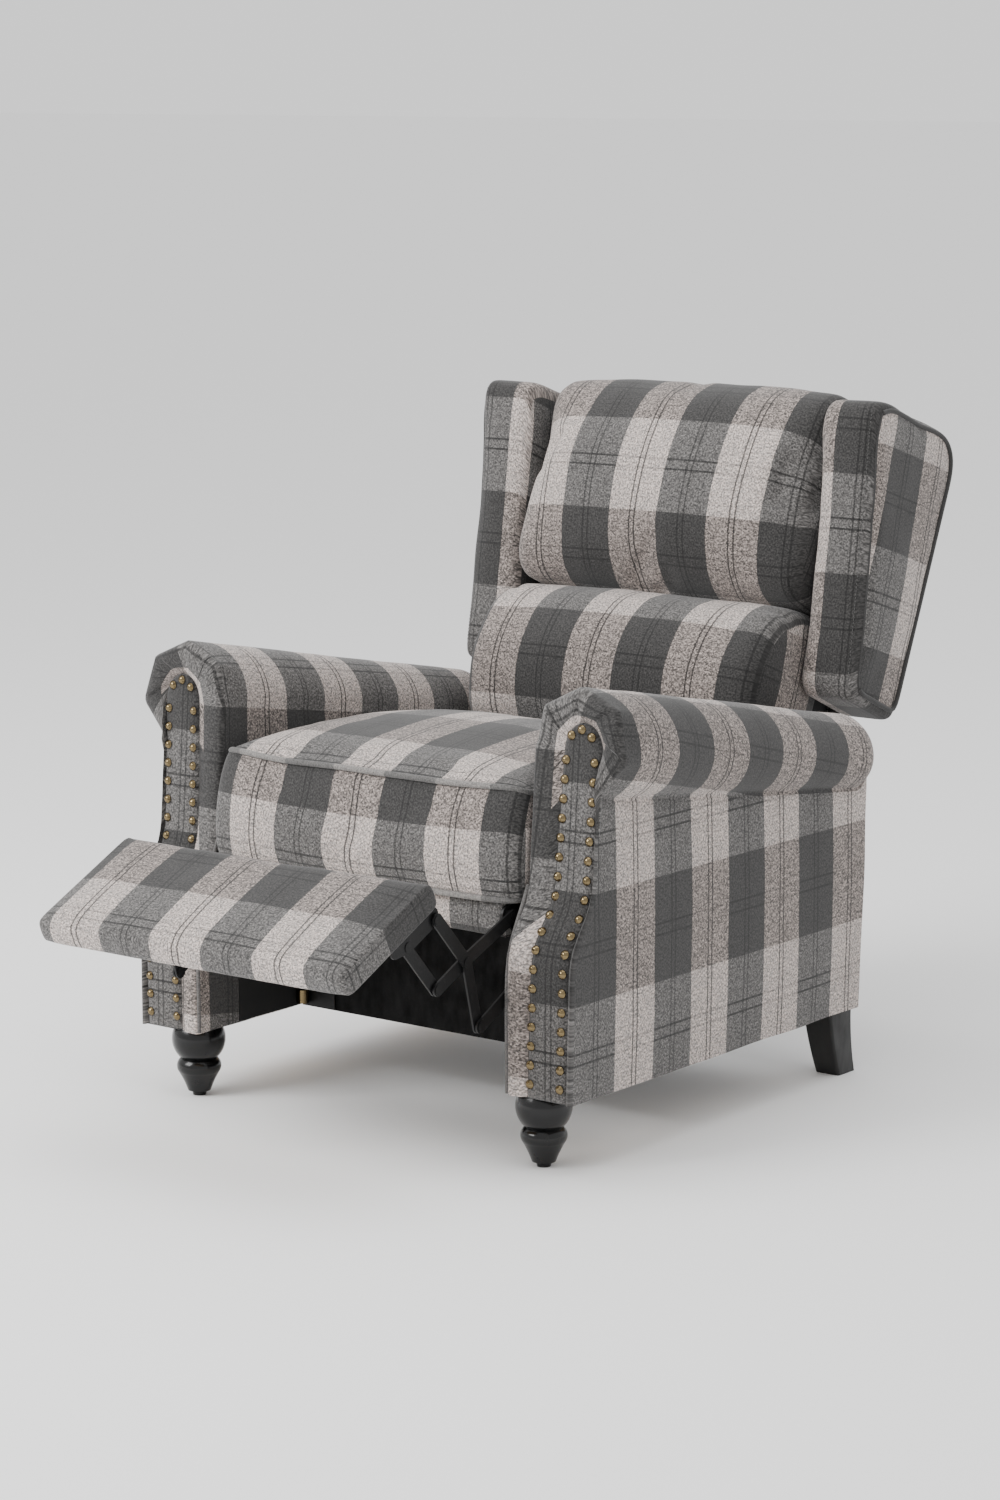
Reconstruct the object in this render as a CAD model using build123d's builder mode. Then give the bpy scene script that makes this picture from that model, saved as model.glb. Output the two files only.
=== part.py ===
"""Push-back recliner: scroll arms, turned front legs, winged back, folding footrest.

Millimetres, Z up, floor at Z = 0. The sitter looks towards -Y and X = 0 is the plane of symmetry.
"Right" pieces lie at +X. The chair is drawn as it stands in use, back tilted and footrest out.
"""
import os
from math import atan2, cos, degrees, hypot, radians, sin

from build123d import *

# Arms and base, set out from half the seat's width
SEAT_HALF = 261.0
LEG_H = 98.0
ARM_FRONT = -323.0
ARM_IN = SEAT_HALF + 5.0
ARM_OUT = ARM_IN + 104.0
ARM_LENGTH = 700.0
ROLL_X = ARM_IN + 73.0
ROLL_R_FRONT = 76.0
ROLL_R_REAR = 54.0
ROLL_Z_FRONT = 569.0
ROLL_Z_REAR = 460.0
ROLL_ROUND = 24.0
NECK_FRONT = 468.0
NECK_REAR = 408.0
REAR_LEAN = 11.0
FACING_T = 5.0
BOARD_T = 18.0

# Nailed front strip of each arm
STRIP_FOOT = (ARM_IN + 32.0, ARM_IN + 96.0)
STRIP_HEAD = (ARM_IN + 47.0, ARM_IN + 108.0)
STRIP_ARCH_Z = 548.0
STRIP_ARCH_RISE = 38.0
NAIL_PITCH = 25.4
NAIL_D = 12.7
NAIL_H = 4.0
NAIL_EDGE = 8.0
NAIL_LIFT = 0.3
NAIL_SHANK_R = 0.8
NAIL_SHANK_L = 12.0

# Legs
FRONT_LEG_X = ARM_IN + 34.0
FRONT_LEG_Y = ARM_FRONT + 38.0
REAR_LEG_X = ARM_IN + 69.0
REAR_LEG_Y = ARM_FRONT + ARM_LENGTH - 38.0
REAR_LEG_RAKE = 24.0
BOLT_R = 4.0
BOLT_IN = 22.0
BOLT_OUT = 34.0

# Seat
SEAT_FRONT = ARM_FRONT + 8.0
SEAT_REAR = ARM_FRONT + ARM_LENGTH - 155.0
SEAT_BASE = 345.0
SEAT_T = 145.0
SEAT_EDGE = SEAT_BASE + SEAT_T
SEAT_CROWN = 50.0
RAIL_H = 43.0
RAIL_W = 44.0
WEB_T = 2.0

# Mechanism: flat steel links in layers between the seat plate and the arm
PLATE_T = 4.0
LINK_T = 3.0
LINK_GAP = 1.6
LINK_W = 18.0
PIN_R = 4.0
PIN_CLEAR = 0.05
LOOP_CLEAR = 0.45
HEAD_R = 7.0
HEAD_T = 1.1
HEAD_PLAY = 0.1
PLATE_IN = SEAT_HALF - 21.0
TRACK_H = 36.0
TRACK_T = 3.0
TRACK_D = 15.0
TRACK_Z = SEAT_BASE - 69.0
GLIDE_CLEAR = 0.4
GLIDE_L = 50.0

# Footrest linkage, first the angles below or above the level, then the centre distances
FOOT_TILT = 26.0
SWING_TILT = 21.97
CROSS_TILT = 47.33
CROSS_BEND = 28.3
SWING_L = 112.79
SPREAD_L = 60.0
CROSS_UP_L = 89.56
CROSS_DOWN_L = 91.19
FOOT_HINGE = (ARM_FRONT - 130.0, SEAT_BASE + 6.0)
DRIVE_PIVOT = (ARM_FRONT + 73.76, SEAT_BASE - 83.4)
PUSH_TRAVEL = 58.8
OPEN_TRAVEL = 12.0
CARRIER_TURN = 11.0

# Footrest
FOOT_HALF = SEAT_HALF - 2.0
FOOT_L = 205.0
FOOT_BACK = 12.0
FOOT_SEAT = 16.0
FOOT_T = 38.0
FOOT_CROWN = 7.0
FOOT_BOARD_T = 10.0

# Back, drawn in its own plane: v runs rearward through the back, u runs up it
BACK_RAKE = 23.5
BACK_Y = ARM_FRONT + ARM_LENGTH + 107.0
BACK_Z = SEAT_EDGE
BACK_TOP = 421.0
BACK_FOOT = -165.0
PANEL_T = 6.0
POST_T = 52.0
POST_W = 36.0
WING_IN = SEAT_HALF - 3.0
WING_OUT = WING_IN + 89.0
WING_FOOT = -125.0
WING_HEAD = -241.0
WING_SOFT = 13.0
PILLOW_HALF = WING_IN - 14.0
PILLOW_SPLIT = 116.0
CARRIER_PIVOT = (SEAT_REAR + 21.0, SEAT_BASE + 55.0)
BACK_PIVOT = (-181.0, -145.0)
GUIDE_PIN = (34.0, -88.0)

PLATE_OUT = PLATE_IN + PLATE_T
ARM_REAR = ARM_FRONT + ARM_LENGTH


def layer(number):
    """Inner face of a link layer, counted outward from the seat plate."""
    return PLATE_OUT + LINK_GAP + (number - 1) * (LINK_T + LINK_GAP)


def polar(origin, angle, length):
    """Point at a distance from an origin, the angle turning from +Y towards +Z."""
    return (origin[0] + length * cos(radians(angle)), origin[1] + length * sin(radians(angle)))


# Pivots of the footrest linkage in the YZ plane
CROSS_PIVOT = polar(FOOT_HINGE, -CROSS_TILT, CROSS_UP_L)
SWING_PIVOT = polar(CROSS_PIVOT, SWING_TILT, SWING_L)
SPREAD_PIVOT = polar(CROSS_PIVOT, 180 + FOOT_TILT, SPREAD_L)
FOOT_STAY = polar(FOOT_HINGE, 180 + FOOT_TILT, SPREAD_L)
DRIVE_END = polar(CROSS_PIVOT, -CROSS_TILT - CROSS_BEND, CROSS_DOWN_L)


def back_plane(x):
    """Plane of the back at a given X, with v as its first and u as its second direction."""
    rake = radians(BACK_RAKE)
    return Plane(origin=(x, BACK_Y, BACK_Z), x_dir=(0, cos(rake), -sin(rake)), z_dir=(1, 0, 0))


def back_point(v, u):
    """A point of the back's own plane as (Y, Z)."""
    point = back_plane(0).from_local_coords(Vector(v, u, 0))
    return (point.Y, point.Z)


def foot_plane(x):
    """Plane of the footrest at a given X: along the pad first, out through its top second."""
    tilt = radians(FOOT_TILT)
    return Plane(origin=(x, *FOOT_HINGE), x_dir=(0, -cos(tilt), -sin(tilt)), z_dir=(-1, 0, 0))


def other_side(piece):
    """The same piece on the other side of the plane of symmetry."""
    with BuildPart() as twin:
        mirror(piece, about=Plane.YZ)
    return twin.part


def save(piece, name):
    """Name a piece and write it."""
    piece.label = name
    export_step(piece, f"parts/{name}.step")


os.makedirs("parts", exist_ok=True)

# Front line of an arm in the YZ plane: upright, swept back below the seat, then up to the scroll
SWEEP = [(0.0, 268.0), (5.0, 297.0), (20.0, 322.0), (38.0, 346.0), (47.0, 379.0)]
SCROLL_TOP = (66.0, ROLL_Z_FRONT + ROLL_R_FRONT + 4.0)


def front_line(setback):
    """Draw the front line, moved rearward by a setback."""
    sweep = [(ARM_FRONT + setback + y, z) for y, z in SWEEP]
    top = (ARM_FRONT + setback + SCROLL_TOP[0], SCROLL_TOP[1])
    Line((ARM_FRONT + setback, LEG_H), sweep[0])
    ThreePointArc(*sweep[0:3])
    ThreePointArc(*sweep[2:5])
    Line(sweep[4], top)


def rear_y(z):
    """Rear face of an arm, leaning rearward from its foot."""
    return ARM_REAR - REAR_LEAN + REAR_LEAN * (z - LEG_H) / (NECK_REAR - LEG_H)


def arm_section(before_rear, draw):
    """Outline of an arm at a distance before its rear: flat panel below, round roll above."""
    y = ARM_REAR - before_rear
    part_way = (y - ARM_FRONT) / ARM_LENGTH
    radius = ROLL_R_FRONT + (ROLL_R_REAR - ROLL_R_FRONT) * part_way - draw
    centre = ROLL_Z_FRONT + (ROLL_Z_REAR - ROLL_Z_FRONT) * part_way
    neck = NECK_FRONT + (NECK_REAR - NECK_FRONT) * part_way
    around = [polar((ROLL_X, centre), angle, radius) for angle in (180, 135, 90, 45, 0, -22, -45)]
    with BuildSketch(Plane.XZ.offset(-y)) as outline:
        with BuildLine():
            ThreePointArc(*around[0:3])
            ThreePointArc(*around[2:5])
            ThreePointArc(*around[4:7])
            Polyline(
                around[6],
                (ARM_OUT, neck),
                (ARM_OUT, LEG_H),
                (ARM_IN, LEG_H),
                (ARM_IN, SEAT_BASE + 35),
                around[0],
            )
        make_face()
    return outline.sketch


# Wooden side frame inside the right arm: a standing board on a wide foot board
FRAME_IN = ARM_IN + 14.0
FRAME_FOOT_W = 76.0
FRAME_FOOT_H = 25.0
with BuildPart() as side_frame_right:
    with BuildSketch(Plane.YZ.offset(FRAME_IN)):
        with BuildLine():
            Polyline(
                (ARM_FRONT + 24, LEG_H),
                (ARM_FRONT + 24, SWEEP[0][1] - 14),
                (ARM_FRONT + 78, SWEEP[4][1] + 4),
                (ARM_FRONT + 86, NECK_FRONT + 12),
                (ARM_REAR - 30, NECK_REAR - 22),
                (ARM_REAR - 30, LEG_H),
                close=True,
            )
        make_face()
    extrude(amount=BOARD_T)
    with BuildSketch(Plane.XY.offset(LEG_H)):
        with Locations((FRAME_IN, ARM_FRONT + 18)):
            Rectangle(FRAME_FOOT_W, ARM_LENGTH - 44, align=(Align.MIN, Align.MIN))
    extrude(amount=FRAME_FOOT_H)
    with BuildSketch(Plane.XY.offset(LEG_H)):
        with Locations((FRONT_LEG_X, FRONT_LEG_Y), (REAR_LEG_X, REAR_LEG_Y)):
            Circle(BOLT_R)
    extrude(amount=BOLT_IN, mode=Mode.SUBTRACT)

# Black lining cloth let into the inner face of the arm, below the seat
LINING_T = 1.5
with BuildPart() as arm_lining_right:
    with BuildSketch(Plane.YZ.offset(ARM_IN)):
        with Locations((ARM_FRONT + 86, LEG_H + 2)):
            Rectangle(ARM_LENGTH - 116, SEAT_BASE - LEG_H - 12, align=(Align.MIN, Align.MIN))
    extrude(amount=LINING_T)

# Upholstered arm: padding and cover round the frame, swept back at the front, its roll rounded off behind
ARM_ROWS = (
    (ARM_LENGTH, 0.0),
    (ROLL_ROUND, 0.0),
    (ROLL_ROUND * 0.35, ROLL_ROUND * 0.25),
    (0.0, ROLL_ROUND * 0.7),
)
with BuildPart() as arm_right:
    loft([arm_section(before_rear, draw) for before_rear, draw in ARM_ROWS], ruled=True)
    with BuildSketch(Plane.YZ.offset(ARM_IN - 30)):
        with BuildLine():
            front_line(FACING_T)
            Polyline(
                (ARM_FRONT + FACING_T + SCROLL_TOP[0], SCROLL_TOP[1]),
                (ARM_FRONT - 20, SCROLL_TOP[1]),
                (ARM_FRONT - 20, LEG_H),
                (ARM_FRONT + FACING_T, LEG_H),
            )
        make_face()
    extrude(amount=200, mode=Mode.SUBTRACT)
    with BuildSketch(Plane.YZ.offset(ARM_IN - 30)):
        with BuildLine():
            Polyline(
                (rear_y(LEG_H), LEG_H),
                (rear_y(NECK_REAR), NECK_REAR),
                (ARM_REAR + 20, NECK_REAR),
                (ARM_REAR + 20, LEG_H),
                close=True,
            )
        make_face()
    extrude(amount=200, mode=Mode.SUBTRACT)
    add(side_frame_right.part, mode=Mode.SUBTRACT)
    add(arm_lining_right.part, mode=Mode.SUBTRACT)
    with BuildSketch(Plane.XY.offset(LEG_H)):
        with Locations((FRONT_LEG_X, FRONT_LEG_Y), (REAR_LEG_X, REAR_LEG_Y)):
            Circle(BOLT_R)
    extrude(amount=BOLT_IN, mode=Mode.SUBTRACT)

# Black cloth over the rear face of the arm
CLOTH_T = 6.0
CLOTH_Z = (LEG_H + 42.0, NECK_REAR - 6.0)
with BuildPart() as rear_cloth_right:
    with BuildSketch(Plane.YZ.offset(ARM_IN + 8)):
        with BuildLine():
            Polyline(
                (rear_y(CLOTH_Z[0]), CLOTH_Z[0]),
                (rear_y(CLOTH_Z[1]), CLOTH_Z[1]),
                (rear_y(CLOTH_Z[1]) + CLOTH_T, CLOTH_Z[1]),
                (rear_y(CLOTH_Z[0]) + CLOTH_T, CLOTH_Z[0]),
                close=True,
            )
        make_face()
    extrude(amount=ARM_OUT - ARM_IN - 14)

# Narrow padded strip down the front of the arm
with BuildPart() as facing_right:
    with BuildSketch(Plane.YZ.offset(ARM_IN)):
        with BuildLine():
            front_line(0)
            front_line(FACING_T)
            Line((ARM_FRONT, LEG_H), (ARM_FRONT + FACING_T, LEG_H))
            Line(
                (ARM_FRONT + SCROLL_TOP[0], SCROLL_TOP[1]),
                (ARM_FRONT + FACING_T + SCROLL_TOP[0], SCROLL_TOP[1]),
            )
        make_face()
    extrude(amount=ARM_OUT - ARM_IN + 20)
    with BuildSketch(Plane.XZ):
        with BuildLine():
            Polyline(
                (STRIP_HEAD[1], STRIP_ARCH_Z),
                (STRIP_FOOT[1], LEG_H + 2),
                (STRIP_FOOT[0], LEG_H + 2),
                (STRIP_HEAD[0], STRIP_ARCH_Z),
            )
            ThreePointArc(
                (STRIP_HEAD[0], STRIP_ARCH_Z),
                (sum(STRIP_HEAD) / 2, STRIP_ARCH_Z + STRIP_ARCH_RISE),
                (STRIP_HEAD[1], STRIP_ARCH_Z),
            )
        make_face()
    extrude(amount=abs(ARM_FRONT) + 200, both=True, mode=Mode.INTERSECT)

# Brass nails along both edges of the strip and round its arch
with BuildLine(Plane.YZ) as nail_line:
    front_line(0)


def nail_plane(x, along):
    """Seat of one nail, a distance along the front line."""
    wire = nail_line.wire()
    spot = wire.position_at(along, position_mode=PositionMode.LENGTH)
    run = wire.tangent_at(along, position_mode=PositionMode.LENGTH)
    outward = Vector(0, -run.Z, run.Y)
    seat = Vector(x, spot.Y, spot.Z) + outward * NAIL_LIFT
    return Plane(origin=seat, x_dir=(1, 0, 0), z_dir=outward)


def nail_planes():
    """Seats of the nails on the right arm: two columns, then the arch between their heads."""
    wire = nail_line.wire()
    height = wire.length - (SCROLL_TOP[1] - STRIP_ARCH_Z)
    first = NAIL_PITCH * 0.8
    count = int((height - first) / NAIL_PITCH) + 1
    columns = [
        (STRIP_FOOT[0] + NAIL_EDGE, STRIP_HEAD[0] + NAIL_EDGE),
        (STRIP_FOOT[1] - NAIL_EDGE, STRIP_HEAD[1] - NAIL_EDGE),
    ]
    seats = []
    for foot, head in columns:
        for step in range(count):
            along = first + step * NAIL_PITCH
            seats.append(nail_plane(foot + (head - foot) * along / height, along))
    last = first + (count - 1) * NAIL_PITCH
    half = (columns[1][1] - columns[0][1]) / 2
    for turn in (45, 90, 135):
        x = sum(STRIP_HEAD) / 2 + half * cos(radians(turn))
        rise = (height - last) + (STRIP_ARCH_RISE - NAIL_EDGE) * sin(radians(turn))
        seats.append(nail_plane(x, last + rise))
    return seats


NAIL_BALL_R = ((NAIL_D / 2) ** 2 + NAIL_H**2) / (2 * NAIL_H)
with BuildPart() as nail:
    with Locations((0, 0, NAIL_H - NAIL_BALL_R)):
        Sphere(NAIL_BALL_R)
    split(bisect_by=Plane.XY, keep=Keep.TOP)
    Cylinder(NAIL_SHANK_R, NAIL_SHANK_L, align=(Align.CENTER, Align.CENTER, Align.MAX))

with BuildPart() as brass_nails:
    for seat in nail_planes():
        add(nail.part.moved(seat.location))
    mirror(about=Plane.YZ)

# Turned front leg: small glide, tapered vase, neck and bun
with BuildPart() as front_leg_right:
    with BuildSketch(Plane(origin=(FRONT_LEG_X, FRONT_LEG_Y, 0), x_dir=(1, 0, 0), z_dir=(0, -1, 0))):
        with BuildLine():
            Polyline((0, 0), (9, 0), (10, 4.5), (16, 7))
            ThreePointArc((16, 7), (22.2, 22), (28, 33))
            ThreePointArc((28, 33), (31, 42), (25.4, 53.5))
            ThreePointArc((25.4, 53.5), (36.8, 74), (33.5, LEG_H))
            Polyline((33.5, LEG_H), (0, LEG_H), (0, 0))
        make_face()
    revolve(axis=Axis((FRONT_LEG_X, FRONT_LEG_Y, 0), (0, 0, 1)))
    with BuildSketch(Plane.XY.offset(LEG_H)):
        with Locations((FRONT_LEG_X, FRONT_LEG_Y)):
            Circle(BOLT_R)
    extrude(amount=-BOLT_OUT, mode=Mode.SUBTRACT)

# Square rear leg, tapered and raked rearward
with BuildPart() as rear_leg_right:
    for z, width, depth, rake in ((0, 40, 43, 1.0), (LEG_H / 2, 44, 49, 0.36), (LEG_H, 48, 56, 0.0)):
        with BuildSketch(Plane.XY.offset(z)):
            with Locations((REAR_LEG_X, REAR_LEG_Y + rake * REAR_LEG_RAKE)):
                RectangleRounded(width, depth, 4)
    loft()
    with BuildSketch(Plane.XY.offset(LEG_H)):
        with Locations((REAR_LEG_X, REAR_LEG_Y)):
            Circle(BOLT_R)
    extrude(amount=-BOLT_OUT, mode=Mode.SUBTRACT)

# Bolts that hold the legs to the side frames
with BuildPart() as leg_bolts:
    with BuildSketch(Plane.XY.offset(LEG_H - BOLT_OUT)):
        for side in (-1, 1):
            with Locations((side * FRONT_LEG_X, FRONT_LEG_Y), (side * REAR_LEG_X, REAR_LEG_Y)):
                Circle(BOLT_R)
    extrude(amount=BOLT_OUT + BOLT_IN)

# Boards that tie the two arms together
CROSS_Y = ARM_FRONT + 222.0
CROSS_TOP = TRACK_Z - TRACK_H / 2 - 8.0
REAR_RAIL_Y = ARM_FRONT + ARM_LENGTH - 60.0
with BuildPart() as cross_board:
    with Locations((0, CROSS_Y, LEG_H)):
        Box(2 * ARM_IN, BOARD_T, CROSS_TOP - LEG_H, align=(Align.CENTER, Align.MIN, Align.MIN))
with BuildPart() as rear_rail:
    with Locations((0, REAR_RAIL_Y, LEG_H + 12)):
        Box(2 * ARM_IN, BOARD_T, 110, align=(Align.CENTER, Align.MIN, Align.MIN))

# Corner fittings: a steel plate on each board end, with a brass barrel in the corner
FITTING_W = 60.0
FITTING_H = 28.0
FITTING_T = 3.0
BARREL_R = 9.0
FITTING_ROWS = ((CROSS_Y, LEG_H + 2), (REAR_RAIL_Y, LEG_H + 14))
with BuildPart() as corner_plates:
    for y, z in FITTING_ROWS:
        for side in (-1, 1):
            with Locations((side * (ARM_IN - FITTING_W / 2 - 1), y, z)):
                Box(FITTING_W, FITTING_T, FITTING_H, align=(Align.CENTER, Align.MAX, Align.MIN))
with BuildPart() as corner_barrels:
    for y, z in FITTING_ROWS:
        for side in (-1, 1):
            with Locations((side * (ARM_IN - BARREL_R - 1), y - FITTING_T - BARREL_R, z + 5)):
                Cylinder(BARREL_R, FITTING_H - 9, align=(Align.CENTER, Align.CENTER, Align.MIN))

# Steel channel screwed to the inner face of the arm, for the seat to slide in
TRACK_START = ARM_FRONT + 125.0
TRACK_END = SEAT_REAR + 17.0
with BuildPart() as track_right:
    with BuildSketch(Plane.XZ.offset(-TRACK_END)):
        with Locations((ARM_IN, TRACK_Z)):
            Rectangle(TRACK_D, TRACK_H, align=(Align.MAX, Align.CENTER))
        with Locations((ARM_IN - TRACK_T, TRACK_Z)):
            Rectangle(TRACK_D, TRACK_H - 2 * TRACK_T, align=(Align.MAX, Align.CENTER), mode=Mode.SUBTRACT)
    extrude(amount=TRACK_END - TRACK_START)


def disc(spot, radius, start, end, mode=Mode.ADD):
    """A round of a given radius about a YZ point, between two X values."""
    with BuildSketch(Plane.YZ.offset(start)) as outline:
        with Locations(spot):
            Circle(radius)
    extrude(outline.sketch, amount=end - start, mode=mode)


def pin(spot, start, end):
    """Riveted pin between two X values, with a flat head beyond each of them."""
    disc(spot, PIN_R, start, end)
    disc(spot, HEAD_R, start - HEAD_T, start)
    disc(spot, HEAD_R, end, end + HEAD_T)


def bar(points, number, holes):
    """Flat link through its pivots, in a link layer; holes pairs each drilled pivot with a radius."""
    start = layer(number)
    with BuildPart() as link:
        for a, b in zip(points, points[1:]):
            with BuildSketch(Plane.YZ.offset(start)):
                with Locations(a, b):
                    Circle(LINK_W / 2)
                make_hull()
            extrude(amount=LINK_T)
        for spot, radius in holes:
            disc(spot, radius, start, start + LINK_T, Mode.SUBTRACT)
    return link.part


# Base pivots of the drive links: a small plate on the arm with a headed stud
with BuildPart() as drive_studs:
    disc(DRIVE_PIVOT, 20, ARM_IN - 1.6, ARM_IN)
    disc(DRIVE_PIVOT, HEAD_R, layer(4) + LINK_T + HEAD_PLAY, ARM_IN - 1.6)
    disc(DRIVE_PIVOT, PIN_R, layer(4) - HEAD_PLAY, layer(4) + LINK_T + HEAD_PLAY)
    disc(DRIVE_PIVOT, HEAD_R, layer(4) - HEAD_PLAY - HEAD_T, layer(4) - HEAD_PLAY)
    mirror(about=Plane.YZ)

# Path of the guide pin: the carrier turns while the seat slides
BACK_PIVOT_YZ = back_point(*BACK_PIVOT)


def guide_spot(slide):
    """Where the guide pin stands for a forward slide of the seat."""
    turn = degrees(atan2(GUIDE_PIN[1], GUIDE_PIN[0])) - CARRIER_TURN * slide / PUSH_TRAVEL
    return polar((CARRIER_PIVOT[0] - slide, CARRIER_PIVOT[1]), turn, hypot(*GUIDE_PIN))


# Slotted guide plate behind each track, held off the arm by two studs
GUIDE_FROM = guide_spot(OPEN_TRAVEL)
GUIDE_TO = guide_spot(-PUSH_TRAVEL)
GUIDE_X = ARM_IN - 8.0
GUIDE_RIM = 12.0
GUIDE_STUD_R = 3.5
GUIDE_STUD_OUT = HEAD_R + GUIDE_STUD_R + 1.0
with BuildPart() as guide_right:
    with BuildSketch(Plane.YZ.offset(GUIDE_X)):
        with Locations(GUIDE_FROM, GUIDE_TO):
            Circle(PIN_R + GUIDE_RIM)
        make_hull()
    extrude(amount=PLATE_T)
    with BuildSketch(Plane.YZ.offset(GUIDE_X)):
        with Locations(GUIDE_FROM, GUIDE_TO):
            Circle(PIN_R + 0.9)
        make_hull()
    extrude(amount=PLATE_T, mode=Mode.SUBTRACT)
    for spot, step in ((GUIDE_FROM, -1), (GUIDE_TO, 1)):
        disc((spot[0] + step * GUIDE_STUD_OUT, spot[1]), GUIDE_STUD_R, GUIDE_X + PLATE_T, ARM_IN)

# Seat frame with its straps and the cloth stretched below it
RAIL_TOP = SEAT_BASE - WEB_T
FRAME_FRONT = SEAT_FRONT + 26.0
FRAME_REAR = SEAT_REAR + 6.0
FRAME_MID = (FRAME_FRONT + FRAME_REAR) / 2
FRAME_DEPTH = FRAME_REAR - FRAME_FRONT
with BuildPart() as seat_frame:
    with BuildSketch(Plane.XY.offset(RAIL_TOP - RAIL_H)):
        with Locations((0, FRAME_MID)):
            Rectangle(2 * PLATE_IN, FRAME_DEPTH)
            Rectangle(2 * (PLATE_IN - RAIL_W), FRAME_DEPTH - 2 * RAIL_W, mode=Mode.SUBTRACT)
    extrude(amount=RAIL_H)
with BuildPart() as seat_straps:
    with Locations((0, FRAME_MID, RAIL_TOP)):
        with GridLocations(88, 0, 5, 1):
            Box(54, FRAME_DEPTH - 16, WEB_T, align=(Align.CENTER, Align.CENTER, Align.MIN))
with BuildPart() as seat_cloth:
    with Locations((0, FRAME_MID, RAIL_TOP - RAIL_H)):
        Box(2 * PLATE_IN - 8, FRAME_DEPTH - 8, WEB_T, align=(Align.CENTER, Align.CENTER, Align.MAX))


def even_rows(least, draw):
    """Sections of a cushion from side to side: share of the half width, crown, drawing in."""
    rows = []
    for step in range(-3, 4):
        share = step / 3
        rows.append((share, 1 - (1 - least) * abs(share) ** 4, draw * abs(share) ** 7))
    return rows


def seat_section(x, crown, draw):
    """Outline of the seat cushion at a given X: bulged front, crowned top, rounded rear."""
    edge = SEAT_EDGE - draw
    rear = SEAT_EDGE - 16 - 1.6 * draw
    with BuildSketch(Plane.YZ.offset(x)) as outline:
        with BuildLine():
            ThreePointArc(
                (SEAT_FRONT + 26 + draw, SEAT_BASE),
                (SEAT_FRONT + 1.5 * draw, SEAT_BASE + 52),
                (SEAT_FRONT + 28 + draw, edge),
            )
            ThreePointArc(
                (SEAT_FRONT + 28 + draw, edge),
                (SEAT_FRONT + 205, edge + crown * SEAT_CROWN),
                (SEAT_REAR - 62, rear),
            )
            ThreePointArc((SEAT_REAR - 62, rear), (SEAT_REAR - 24, rear - 24), (SEAT_REAR, rear - 62))
            Polyline(
                (SEAT_REAR, rear - 62),
                (SEAT_REAR, SEAT_BASE),
                (SEAT_FRONT + 26 + draw, SEAT_BASE),
            )
        make_face()
    return outline.sketch


# Seat cushion, fullest in the middle and drawn in at its sides
SEAT_ROWS = even_rows(0.35, 9.0)
with BuildPart() as seat_cushion:
    loft([seat_section(share * SEAT_HALF, crown, draw) for share, crown, draw in SEAT_ROWS])

# Seat plate on each side rail: carries the front links, the glides and the back carrier
PLATE_FOOT = TRACK_Z - 14.0
with BuildPart() as seat_plate_right:
    with BuildSketch(Plane.YZ.offset(PLATE_IN)):
        with BuildLine():
            Polyline(
                (SWING_PIVOT[0], SWING_PIVOT[1] - 13),
                (SWING_PIVOT[0], RAIL_TOP - 2),
                (CARRIER_PIVOT[0] - 15, RAIL_TOP - 2),
                (CARRIER_PIVOT[0] - 15, CARRIER_PIVOT[1]),
                (CARRIER_PIVOT[0] + 15, CARRIER_PIVOT[1]),
                (CARRIER_PIVOT[0] + 30, RAIL_TOP - RAIL_H),
                (CARRIER_PIVOT[0] + 30, PLATE_FOOT),
                (SWING_PIVOT[0] + 62, PLATE_FOOT),
                close=True,
            )
        make_face()
        with Locations(SWING_PIVOT):
            Circle(13)
        with Locations(CARRIER_PIVOT):
            Circle(15)
        with Locations(SWING_PIVOT, CARRIER_PIVOT):
            Circle(PIN_R, mode=Mode.SUBTRACT)
    extrude(amount=PLATE_T)

# Nylon glides that run in the tracks
GLIDE_ROWS = (ARM_FRONT + 215.0, SEAT_REAR - 83.0)
GLIDE_D = ARM_IN - TRACK_T - GLIDE_CLEAR - PLATE_OUT
GLIDE_H = TRACK_H - 2 * TRACK_T - 2 * GLIDE_CLEAR
with BuildPart() as glides:
    for y in GLIDE_ROWS:
        for side in (-1, 1):
            with Locations((side * (PLATE_OUT + GLIDE_D / 2), y, TRACK_Z)):
                Box(GLIDE_D, GLIDE_L, GLIDE_H)

# Pins fixed in the seat plates: front links and back carriers turn on them
CARRIER_X = layer(1)
with BuildPart() as seat_pins:
    for spot, end in ((SWING_PIVOT, layer(2) + LINK_T), (CARRIER_PIVOT, CARRIER_X + PLATE_T)):
        disc(spot, PIN_R, PLATE_IN, end + HEAD_PLAY)
        disc(spot, HEAD_R, end + HEAD_PLAY, end + HEAD_PLAY + HEAD_T)
    disc(SWING_PIVOT, HEAD_R, PLATE_OUT, layer(2) - HEAD_PLAY)
    mirror(about=Plane.YZ)

# Links of the footrest
FREE_R = PIN_R + PIN_CLEAR
LOOP_R = PIN_R + LOOP_CLEAR
front_link_right = bar(
    (SWING_PIVOT, CROSS_PIVOT, SPREAD_PIVOT),
    2,
    ((SWING_PIVOT, FREE_R), (CROSS_PIVOT, PIN_R), (SPREAD_PIVOT, PIN_R)),
)
cross_link_right = bar(
    (FOOT_HINGE, CROSS_PIVOT, DRIVE_END),
    3,
    ((FOOT_HINGE, FREE_R), (CROSS_PIVOT, FREE_R), (DRIVE_END, PIN_R)),
)
stay_link_right = bar(
    (SPREAD_PIVOT, FOOT_STAY),
    1,
    ((SPREAD_PIVOT, FREE_R), (FOOT_STAY, LOOP_R)),
)
drive_link_right = bar(
    (DRIVE_PIVOT, DRIVE_END),
    4,
    ((DRIVE_PIVOT, FREE_R), (DRIVE_END, LOOP_R)),
)

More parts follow.
